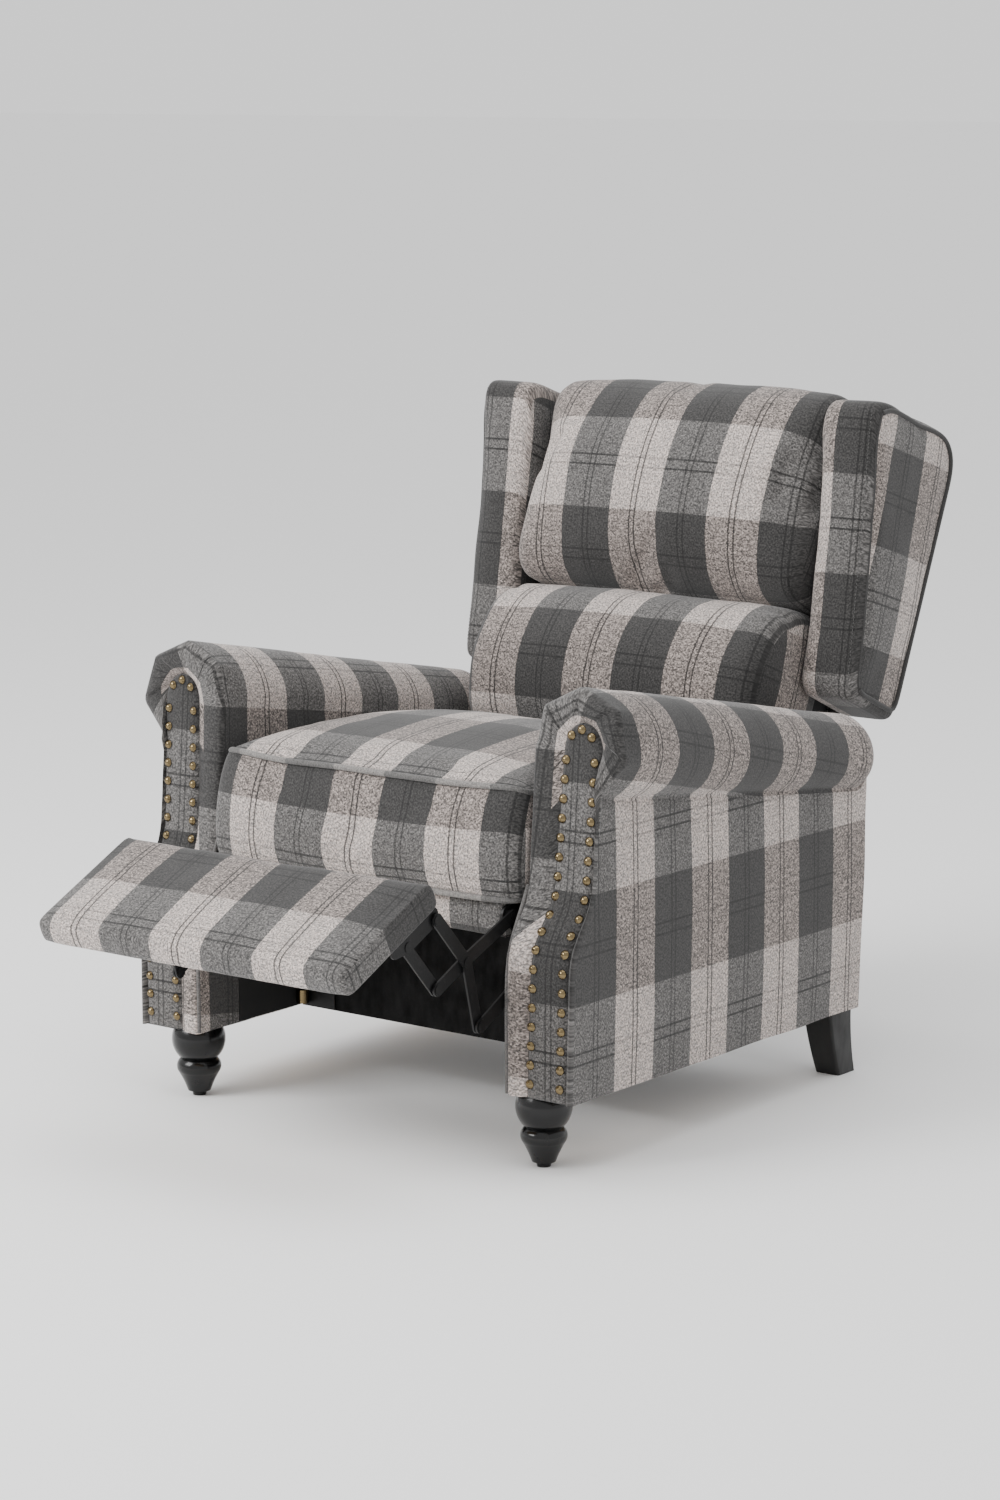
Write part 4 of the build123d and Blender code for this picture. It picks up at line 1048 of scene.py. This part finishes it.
def strip_edge():
    """The strip's outline seen from the front, with as many points as the arm's outline."""
    rise = np.linspace(LEG_H + 0.001, ARCH_Z, 40)
    inner = np.column_stack([np.linspace(STRIP_FOOT[0], STRIP_HEAD[0], 40), rise])
    outer = np.column_stack([np.linspace(STRIP_HEAD[1], STRIP_FOOT[1], 40), rise[::-1]])
    turn = np.linspace(math.pi, 0, 30)[1:-1]
    middle, half = sum(STRIP_HEAD) / 2, (STRIP_HEAD[1] - STRIP_HEAD[0]) / 2
    arch = np.column_stack([middle + half * np.cos(turn), ARCH_Z + ARCH_RISE * np.sin(turn)])
    over = np.vstack([inner[-1:], arch, outer[:1]])
    return np.vstack([sample(inner, INNER), sample(over, ROLL)[1:], sample(outer, NECK + OUTER)[1:]])


def arm_cloth(label):
    """Cloth up the inside and round the roll, and on the outer panel; its stripes turn back at the front."""
    flat = np.zeros((len(ARM_SHARES), ARM_POINTS, 2))
    for i, row in enumerate(right_arm):
        run = run_of(row[:, [0, 2]])
        flat[i, :, 0] = row[:, 1] - LIGHT_AT[label]
        flat[i, :, 1] = run - run[INNER] - ROLL_BAND
    outer = flat.copy()
    outer[:, :, 0] = np.abs(outer[:, :, 0] + TURN_BACK) - TURN_BACK
    outer[:, :, 1] = right_arm[:, :, 2] - SIDE_BAND
    return flat, outer


strip_outline = strip_edge()
print("strip outline:", len(strip_outline), "points, arch top at", round(strip_outline[:, 1].max(), 3))

# %% [markdown]
# The front of the arm is closed with rings that shrink from the edge of the roll to the nailed strip. Every
# pleat stands a little proud at one fold and dips at the next, which is how folded cloth lies.

# %% Arm fronts
# A spot on a dark stripe of the check, given to the faces behind the strip as painted shade in the gap there
SHADE_SPOT = (STRIPE_REPEAT / 2, 0.03)
# The light border beside the strip, as two places on a light stripe
BORDER = (-0.1425, -0.1545)
PLEAT_DEPTH = 0.0050
SCROLL_Z = 0.565
# Each ring's share of the way from the roll to the strip, and how far it stands before the swept line
FRONT_RINGS = (
    (0.05, -0.0040), (0.12, -0.0062), (0.25, -0.0070), (0.45, -0.0066), (0.74, -0.0056), (1.0, -0.0006),
)


def pleat_rise(edge):
    """For each point of the front edge, its share of the way from one fold to the next."""
    angle = np.arctan2(edge[:, 1] - SCROLL_Z, edge[:, 0] - ROLL_X)
    angle[angle < -math.pi / 2] += 2 * math.pi
    rise = np.zeros(ARM_POINTS)
    for first, last in zip(PLEATS, PLEATS[1:]):
        inside = (angle <= first) & (angle > last)
        rise[inside] = (first - angle[inside]) / (first - last)
    return rise


def arm_front(cover, mirror, ring, cloth):
    """Rings from the edge of the roll to the strip. Returns the last ring, and both ends of every ring."""
    edge = right_arm[0][:, [0, 2]]
    rise = pleat_rise(edge)
    number = np.arange(ARM_POINTS)
    border = np.clip((number - INNER + 7) / 8, 0.0, 1.0) * np.clip((ROLL_END - 6 - number) / 4, 0.0, 1.0)
    before = cloth
    hem = [(ring[0], ring[-1])]
    for share, back in FRONT_RINGS:
        spot = (1 - share) * edge + share * strip_outline
        proud = back - PLEAT_DEPTH * rise * math.sin(math.pi * min(1.0, share + 0.08))
        made = cover.add(np.column_stack([spot[:, 0], front_y(spot[:, 1]) + proud, spot[:, 1]]) * mirror)
        gone = np.linalg.norm(spot - edge, axis=1)
        gone[SEAM:] = 0.0
        after = cloth.copy()
        after[:, 0] -= 0.7 * gone
        if share == 1.0:
            before[:, 0] += border * (BORDER[0] - before[:, 0])
            after[:, 0] += border * (BORDER[1] - after[:, 0])
        cover.panel(np.array([ring, made]).T, np.stack([before, after], axis=1))
        ring, before = made, after
        hem.append((made[0], made[-1]))
    return ring, hem


def close_front(cover, mirror, ring, hem):
    """Cloth behind the strip, and one face under the foot of the front, all on a dark stripe as painted
    shade in the gap.
    """
    def shade_face(*numbers):
        cover.face(numbers, [SHADE_SPOT] * len(numbers))

    z = strip_outline[:INNER + 1, 1]
    x = np.full(len(z), sum(STRIP_FOOT) / 2)
    middle = cover.add(np.column_stack([x, front_y(z) + 0.003, z]) * mirror)
    cover.panel(np.array([ring[:INNER + 1], middle]).T, np.full((INNER + 1, 2, 2), SHADE_SPOT))
    shade_face(*(inner for inner, _ in hem), middle[0], *(outer for _, outer in reversed(hem)))
    picks = np.round(np.linspace(ARM_POINTS - 1, ROLL_END, INNER + 1)).astype(int)
    for k in range(INNER):
        shade_face(middle[k], *ring[picks[k + 1]:picks[k] + 1][::-1], middle[k + 1])
    shade_face(middle[INNER], *ring[INNER:ROLL_END + 1])


print("rings on each front:", len(FRONT_RINGS))

# %% [markdown]
# One function sews a whole arm: the inside with the roll, the outer panel, the foot, the front and the rear.
# The left arm is the right one mirrored; only the place of its stripes differs.

# %% Arm covers
def arm_cover(label, side):
    """One arm's cover: long panels, foot, front and rear. Returns it and the point numbers of its rows."""
    cover = Cover()
    mirror = np.array((side, 1.0, 1.0))
    rows = np.array([cover.add(row * mirror) for row in right_arm])
    flat, outer = arm_cloth(label)
    cover.panel(rows[:, :SEAM + 1], flat[:, :SEAM + 1])
    cover.panel(rows[:, SEAM:], outer[:, SEAM:])
    cover.panel(rows[:, [-1, 0]], [[(0.0, 0.0), (0.1, 0.0)] for _ in rows])
    edge_cloth = np.vstack([flat[0, :SEAM], outer[0, SEAM:]])
    close_front(cover, mirror, *arm_front(cover, mirror, rows[0], edge_cloth))
    rear = rows[-1]
    rear_cloth = right_arm[-1][:, [0, 2]] - (0.30, SIDE_BAND)
    for k in range(ARM_POINTS // 2 - 1):
        quad = [k, k + 1, ARM_POINTS - 2 - k, ARM_POINTS - 1 - k]
        cover.face(rear[quad], rear_cloth[quad])
    return cover.build(f"arm_cover_{label}", CHECK), rows


arms = {}
for label, side in SIDES.items():
    arm, arm_rows = arm_cover(label, side)
    ripple(arm, 0.13, 0.0016)
    arm.data.set_sharp_from_angle(angle=math.radians(50))
    arms[label] = (arm, arm_rows)
print("arms made:", sorted(arms), "faces each:", len(arms["right"][0].data.polygons))

# %% [markdown]
# The nailed strip is a narrow band of the same cloth, pulled over a thin pad. It follows the swept front,
# ends in an arch and is drawn down under each row of nails, so its section is flat with soft shoulders.

# %% Nailed strips
STRIP_MIDDLE = 0.335
STRIP_ACROSS = np.array((0.0, 0.0, 0.03, 0.10, 0.25, 0.5, 0.75, 0.90, 0.97, 1.0, 1.0))
SHOULDER = (0.004, 0.0012, -0.0015, -0.0038, -0.0052)
STRIP_LIFT = np.array((*SHOULDER, -0.0056, *SHOULDER[::-1]))


def strip_cover(label, side):
    """One strip: rows up the front line, each with a padded section."""
    cover = Cover()
    arch = ARCH_Z + ARCH_RISE * np.sin(np.linspace(0.1, 1.5, 14))
    rows, cloth = [], []
    for z in np.r_[np.linspace(LEG_H + 0.002, ARCH_Z, 60), arch]:
        share = np.clip((z - LEG_H) / (ARCH_Z - LEG_H), 0, 1)
        low, high = (foot + (top - foot) * share for foot, top in zip(STRIP_FOOT, STRIP_HEAD))
        if z > ARCH_Z:
            half = (high - low) / 2 * math.sqrt(max(0.0, 1 - ((z - ARCH_Z) / ARCH_RISE) ** 2))
            low, high = (low + high) / 2 - half, (low + high) / 2 + half
        x = low + (high - low) * STRIP_ACROSS
        level = np.full(len(x), z)
        rows.append(cover.add(np.column_stack([x, front_y(z) + STRIP_LIFT, level]) * (side, 1, 1)))
        cloth.append(np.column_stack([x - STRIP_MIDDLE + STRIPE_REPEAT / 2, level - SIDE_BAND]))
    cover.panel(rows, cloth)
    return as_sheet(cover.build(f"nailed_strip_{label}", CHECK), -1, 0.0016)


strips = {label: strip_cover(label, side) for label, side in SIDES.items()}
print("strips made:", sorted(strips))

# %% [markdown]
# The outside back is a padded panel between the wings. It goes up the rear, over the top of the frame and
# a short way down behind the upper cushion, so no bare wood shows from above.

# %% Outside back
BACK_LINE = (
    (-0.0005, -0.164), (0.0004, -0.06), (0.001, 0.0), (0.0032, 0.14), (0.0036, 0.28), (0.002, 0.395),
    (-0.003, 0.4165), (-0.012, 0.4205), (-0.03, 0.4215), (-0.056, 0.4195), (-0.06, 0.412), (-0.0603, 0.385),
)
BETWEEN_ARMS = 0.2355
BACK_HALF = 0.2575
BACK_BAND = 0.319


def back_panel():
    """A sheet with thickness: foot of the rear, up, over the top and down behind the cushion."""
    cover = Cover()
    line = sample(BACK_LINE, 60)
    columns = np.linspace(-1, 1, 50)
    dip = 0.0028 * np.abs(columns) ** 10
    rows, cloth = [], []
    for (through, up), run in zip(line, run_of(line)):
        x = columns * (BETWEEN_ARMS if up < -0.001 else BACK_HALF)
        rows.append(cover.add([on_back(a, (through - b, up)) for a, b in zip(x, dip)]))
        cloth.append(np.column_stack([x + 0.025, np.full(len(x), run - BACK_BAND)]))
    cover.panel(rows, cloth)
    return as_sheet(cover.build("outside_back_cover", CHECK), 1, 0.0030)


outside_back = back_panel()
ripple(outside_back, 0.16, 0.0012)
print("outside back faces:", len(outside_back.data.polygons))

# %% [markdown]
# Piping, nails and stitches repeat one small shape many times, which is work for Geometry Nodes. A tree is
# written here as a list of steps; an input such as "even.Curve" is joined to that output of an earlier step.
# Once a tree has run, its result is kept as a plain mesh.

# %% Helpers for node trees
def node_tree(name, inputs, steps):
    """A Geometry Nodes tree from its named inputs and its steps: kind, inputs and settings of each."""
    tree = bpy.data.node_groups.new(name, "GeometryNodeTree")
    for key, kind in {"Geometry": "Geometry", **inputs}.items():
        tree.interface.new_socket(key, in_out="INPUT", socket_type="NodeSocket" + kind)
    tree.interface.new_socket("Geometry", in_out="OUTPUT", socket_type="NodeSocketGeometry")
    made = {"start": tree.nodes.new("NodeGroupInput")}
    for key, (kind, values, settings) in steps.items():
        joined = {}
        for socket, value in values.items():
            if isinstance(value, str) and "." in value:
                source, output = value.split(".")
                value = made[source].outputs[output]
            joined[socket] = value
        made[key] = add_node(tree, kind, joined, **settings)
    add_node(tree, "NodeGroupOutput", {"Geometry": made["finish"].outputs["Geometry"]})
    return tree


def run_tree(piece, tree, **inputs):
    """Give a piece a node tree, set its inputs, and turn the result into a plain mesh."""
    modifier = piece.modifiers.new("nodes", "NODES")
    modifier.node_group = tree
    for item in tree.interface.items_tree:
        if item.item_type == "SOCKET" and item.in_out == "INPUT" and item.name in inputs:
            modifier[item.identifier] = inputs[item.name]
    bpy.context.view_layer.update()
    solved = piece.evaluated_get(bpy.context.evaluated_depsgraph_get())
    mesh = bpy.data.meshes.new_from_object(solved)
    mesh.name = piece.name
    piece.modifiers.remove(modifier)
    piece.data = mesh
    return piece


def line_piece(name, lines):
    """An object that holds nothing but lines of points."""
    points, edges = [], []
    for line in lines:
        first = len(points)
        points.extend(map(tuple, line))
        edges.extend((first + k, first + k + 1) for k in range(len(line) - 1))
    mesh = bpy.data.meshes.new(name)
    mesh.from_pydata(points, edges, [])
    return add_to_scene(name, mesh)


print("node tree helpers ready")

# %% [markdown]
# Piping is a cord wrapped in a bias strip and sewn into a seam. It follows a line of points that the
# finished cushions give: the line becomes a curve, is spaced evenly, and a round section runs along it. The
# same tree serves every seam, with the thickness as an input.

# %% Piping tree
BY_LENGTH = {"mode": "LENGTH"}
PIPING = node_tree("piping", {"Radius": "Float", "Spacing": "Float", "Cloth": "Material"}, {
    "curve": ("GeometryNodeMeshToCurve", {"Mesh": "start.Geometry"}, {}),
    "even": ("GeometryNodeResampleCurve", {"Curve": "curve.Curve", "Length": "start.Spacing"}, BY_LENGTH),
    "section": ("GeometryNodeCurvePrimitiveCircle", {"Resolution": 10, "Radius": "start.Radius"}, {}),
    "tube": ("GeometryNodeCurveToMesh",
             {"Curve": "even.Curve", "Profile Curve": "section.Curve", "Fill Caps": True}, {}),
    "smooth": ("GeometryNodeSetShadeSmooth", {"Geometry": "tube.Mesh"}, {}),
    "real": ("GeometryNodeRealizeInstances", {"Geometry": "smooth.Geometry"}, {}),
    "finish": ("GeometryNodeSetMaterial", {"Geometry": "real.Geometry", "Material": "start.Cloth"}, {}),
})


def piping(name, lines, radius, finish):
    """Piping along one or more lines."""
    return run_tree(line_piece(name, lines), PIPING, Radius=radius, Spacing=0.005, Cloth=finish)


def eased(line, times):
    """A line of points with its small kinks taken out, ends kept."""
    line = np.array(line, float)
    for _ in range(times):
        line[1:-1] = 0.25 * line[:-2] + 0.5 * line[1:-1] + 0.25 * line[2:]
    return line


print("piping tree has", len(PIPING.nodes), "nodes")

# %% [markdown]
# Seams of the seat, wings and arms. The lines come from the numbers kept when the covers were made, after
# the stuffing, so that the piping lies in the seam wherever the cloth ended up.

# %% Piping in the seams
PIPING_LIMIT = 0.2632
RETURN_STEP = 0.012


def seat_line(k, lift, returned):
    """The seam along one corner of the seat's outlines, carried rearward along both sides."""
    line = eased(where_now(seat)[side_numbers(seat_rows, SEAT_COUNTS, k)[:, 0]], 3) + lift
    steps = [np.array((0.0, RETURN_STEP * n, 0.0)) for n in range(1, int(returned / RETURN_STEP) + 1)]
    left = [line[0] + step for step in reversed(steps)]
    right = [line[-1] + step for step in steps]
    return eased(np.vstack([left, line, right]), 4)


seat_seams = [seat_line(2, (0.0, -0.0022, 0.0018), 0.10), seat_line(1, (0.0, -0.0025, 0.0005), 0.08)]
seat_piping = piping("seat_piping", seat_seams, 0.0042, PIPING_LIGHT)
keep_within(seat_piping, 0, -PIPING_LIMIT, PIPING_LIMIT)

wing_pipings, wing_seams, arm_welts = {}, {}, {}
for label, side in SIDES.items():
    wing, wing_rows = wings[label]
    ring = where_now(wing)[wing_rows[-1 if side > 0 else 0]]
    across, up = WING_COUNTS
    around = eased(np.vstack([ring[across + up:], ring[:across + 1]]), 2) + (side * 0.001, 0, 0)
    wing_pipings[label] = piping(f"wing_piping_{label}", [around], 0.0036, PIPING_DARK)
    seam = eased(ring[across:across + up + 1], 2) + (side * 0.0002, 0, 0)
    wing_seams[label] = piping(f"wing_front_seam_{label}", [seam], 0.0014, PIPING_DARK)
for label, side in SIDES.items():
    arm, arm_rows = arms[label]
    edge = where_now(arm)[arm_rows[0][:13]] + (-side * 0.0005, -0.003, 0.0)
    edge[0, 2] = LEG_H + 0.002
    arm_welts[label] = piping(f"arm_welt_{label}", [eased(edge, 2)], 0.0028, PIPING_MID)
print("pipings:", seat_piping.name, sorted(wing_pipings), sorted(arm_welts))

# %% [markdown]
# The brass nails sit where the frame has them. Every loose part of its nails is one nail, with its shank
# pointing into the arm, so each gives a place and a direction.

# %% Nail seats
RIM_INSIDE = 0.0055
HEAD_DEPTH = 0.004


def loose_parts(mesh):
    """The points of every loose part of a mesh, as arrays."""
    work = bmesh.new()
    work.from_mesh(mesh)
    bmesh.ops.remove_doubles(work, verts=work.verts, dist=1e-6)
    seen, parts = set(), []
    for start in work.verts:
        if start in seen:
            continue
        part, wait = [], [start]
        seen.add(start)
        while wait:
            vert = wait.pop()
            part.append(vert.co.copy())
            for edge in vert.link_edges:
                other = edge.other_vert(vert)
                if other not in seen:
                    seen.add(other)
                    wait.append(other)
        parts.append(np.array(part))
    work.free()
    return parts


def nail_seat(cloud):
    """Middle of the head and outward direction of a nail, from its points."""
    far = cloud[np.argmax(np.linalg.norm(cloud - cloud.mean(axis=0), axis=1))]
    crown = cloud[np.argmax(np.linalg.norm(cloud - far, axis=1))]
    axis = (crown - far) / np.linalg.norm(crown - far)
    depth = (cloud - far) @ axis
    rim = cloud[np.linalg.norm((cloud - far) - np.outer(depth, axis), axis=1) > RIM_INSIDE]
    return rim.mean(axis=0) if len(rim) > 5 else crown - axis * HEAD_DEPTH, axis


seats = [nail_seat(cloud) for cloud in loose_parts(nodes["brass_nails"].data)]
print("nails:", len(seats))

# %% [markdown]
# A nail has a domed head with a thin rim. There are dozens of the same nail, so the head is turned once
# from its profile, and Geometry Nodes set it on the points. The tree tips every head by a small chance, with
# a fixed seed, since nails are driven by hand.

# %% Nail heads
HEAD_ROUNDS = 16
HEAD_TOP = 0.0044
HEAD_PROFILE = (
    (0.0018, 0.0042), (0.0034, 0.0035), (0.0047, 0.0024), (0.0056, 0.0012),
    (0.0062, 0.0007), (0.00635, 0.0), (0.0060, -0.0004),
)


def turned_head():
    """A domed nail head with a rolled rim, standing on the origin."""
    cover = Cover()
    turn = np.linspace(0, 2 * math.pi, HEAD_ROUNDS, endpoint=False)
    rings = [np.repeat(cover.add([(0, 0, HEAD_TOP)]), HEAD_ROUNDS + 1)]
    for radius, height in HEAD_PROFILE:
        level = np.full(HEAD_ROUNDS, height)
        made = cover.add(np.column_stack([radius * np.cos(turn), radius * np.sin(turn), level]))
        rings.append(np.r_[made, made[:1]])
    rings.append(np.repeat(cover.add([(0, 0, HEAD_PROFILE[-1][1])]), HEAD_ROUNDS + 1))
    cover.panel(rings, np.zeros((len(rings), HEAD_ROUNDS + 1, 2)))
    return cover.build("nail_head_pattern", BRASS)


NAIL_INPUTS = {"Head": "Object", "Size": "Float", "Uneven": "Float", "Metal": "Material"}
NAIL_HEADS = node_tree("nail_heads", NAIL_INPUTS, {
    "head": ("GeometryNodeObjectInfo", {"Object": "start.Head"}, {}),
    "facing": ("GeometryNodeInputNamedAttribute", {"Name": "outward"}, {"data_type": "FLOAT_VECTOR"}),
    "chance": ("FunctionNodeRandomValue", {"Min": (-1, -1, -1), "Max": (1, 1, 1), "Seed": 7},
               {"data_type": "FLOAT_VECTOR"}),
    "tip": ("ShaderNodeVectorMath", {0: "chance.Value", "Scale": "start.Uneven"}, {"operation": "SCALE"}),
    "lean": ("ShaderNodeVectorMath", {0: "facing.Attribute", 1: "tip.Vector"}, {"operation": "ADD"}),
    "turn": ("FunctionNodeAlignRotationToVector", {"Vector": "lean.Vector"}, {"axis": "Z"}),
    "place": ("GeometryNodeInstanceOnPoints", {"Points": "start.Geometry", "Instance": "head.Geometry",
                                               "Rotation": "turn.Rotation", "Scale": "start.Size"}, {}),
    "real": ("GeometryNodeRealizeInstances", {"Geometry": "place.Instances"}, {}),
    "finish": ("GeometryNodeSetMaterial", {"Geometry": "real.Geometry", "Material": "start.Metal"}, {}),
})
nails = line_piece("brass_nail_heads", [[spot] for spot, _ in seats])
facing = nails.data.attributes.new("outward", "FLOAT_VECTOR", "POINT")
facing.data.foreach_set("vector", np.array([axis for _, axis in seats], np.float32).ravel())
head_pattern = turned_head()
run_tree(nails, NAIL_HEADS, Head=head_pattern, Size=1.0, Uneven=0.06, Metal=BRASS)
bpy.data.objects.remove(head_pattern)
print("faces of all nail heads:", len(nails.data.polygons))

# %% [markdown]
# Topstitching holds the seam allowances flat. One stitch is a short thread, thicker in the middle, and the
# tree sets it at even steps along a line, turned to follow it.

# %% Stitches
STITCH_INPUTS = {"Step": "Float", "Length": "Float", "Width": "Float", "Thread": "Material"}
STITCHES = node_tree("stitches", STITCH_INPUTS, {
    "curve": ("GeometryNodeMeshToCurve", {"Mesh": "start.Geometry"}, {}),
    "dots": ("GeometryNodeCurveToPoints", {"Curve": "curve.Curve", "Length": "start.Step"}, BY_LENGTH),
    "thread": ("GeometryNodeMeshUVSphere", {"Segments": 6, "Rings": 4, "Radius": 0.5}, {}),
    "size": ("ShaderNodeCombineXYZ", {"X": "start.Width", "Y": "start.Width", "Z": "start.Length"}, {}),
    "place": ("GeometryNodeInstanceOnPoints", {"Points": "dots.Points", "Instance": "thread.Mesh",
                                               "Rotation": "dots.Rotation", "Scale": "size.Vector"}, {}),
    "real": ("GeometryNodeRealizeInstances", {"Geometry": "place.Instances"}, {}),
    "finish": ("GeometryNodeSetMaterial", {"Geometry": "real.Geometry", "Material": "start.Thread"}, {}),
})
BACK_STITCH_X = 0.249
BACK_STITCH_OUT = 0.0011


def stitched(name, lines):
    """Rows of stitches along lines."""
    piece = line_piece(name, lines)
    return run_tree(piece, STITCHES, Step=0.005, Length=0.0034, Width=0.0009, Thread=THREAD)


wing_threads = []
for label, side in SIDES.items():
    wing, wing_rows = wings[label]
    across, up = WING_COUNTS
    inner_row = wing_rows[-4 if side > 0 else 3]
    line = where_now(wing)[inner_row[across + 2:across + up]]
    wing_threads.append(eased(line, 2) + (side * 0.0006, 0.0, 0.0))
back_threads = [[on_back(x, (BACK_STITCH_OUT, up)) for up in np.linspace(0.02, 0.39, 60)]
                for x in (-BACK_STITCH_X, BACK_STITCH_X)]
wing_stitches = stitched("wing_topstitch", wing_threads)
back_stitches = stitched("back_topstitch", back_threads)
print("stitch pieces:", wing_stitches.name, back_stitches.name)

# %% [markdown]
# What is left is the solid frame: legs, boards, links, tracks and bolts keep their solids and only need
# their finishes. The list below says which finish each takes; whatever it leaves out is black steel.

# %% Finishes on the solid pieces
SOLID_FINISHES = {
    GLOSS_BLACK: ("front_leg_right", "front_leg_left"),
    SATIN_BLACK: ("rear_leg_right", "rear_leg_left"),
    FLAT_BLACK: ("cross_board", "rear_rail"),
    PINE: ("side_frames", "footrest_board", "wing_boards"),
    BLACK_CLOTH: ("arm_linings", "arm_rear_cloths", "back_frame"),
    PALE_CLOTH: ("seat_cloth", "seat_frame"),
    STRAP_CLOTH: ("seat_straps", "back_straps"),
    NYLON: ("glides",),
    ZINC: ("leg_bolts", "seat_track_right", "seat_track_left"),
    BRASS: ("corner_barrels",),
}
finish_of = {name: finish for finish, names in SOLID_FINISHES.items() for name in names}
for name, node in nodes.items():
    finish = finish_of.get(name, POWDER_BLACK)
    for place in node.material_slots:
        place.material = finish
    if not node.material_slots:
        node.data.materials.append(finish)
print("solids with a finish:", len(nodes), "of them in the list:", len(finish_of))

# %% [markdown]
# Last, every new piece is tied to the body that carries it, and the solids it replaces are hidden.

# %% Ride and replace
def settle(piece, body, replaced=()):
    """Tie a piece to its body and hide the solids it replaces."""
    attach(piece, body)
    if replaced:
        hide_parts(*replaced)


for cushion in (seat, lumbar, head, footrest, wings["right"][0], wings["left"][0]):
    finer(cushion)
settle(seat, "seat", ["seat_cushion"])
settle(lumbar, "back", ["lumbar_cushion"])
settle(head, "back", ["head_cushion"])
settle(footrest, "footrest", ["footrest_pad"])
settle(outside_back, "back", ["outside_back"])
settle(apron, "seat")
settle(seat_piping, "seat")
settle(nails, "base", ["brass_nails"])
settle(wing_stitches, "back")
settle(back_stitches, "back")
for label in SIDES:
    settle(wings[label][0], "back", [f"wing_{label}"])
    settle(arms[label][0], "base", [f"arm_upholstery_{label}"])
    settle(strips[label], "base", [f"arm_facing_{label}"])
    settle(wing_pipings[label], "back")
    settle(wing_seams[label], "back")
    settle(arm_welts[label], "base")
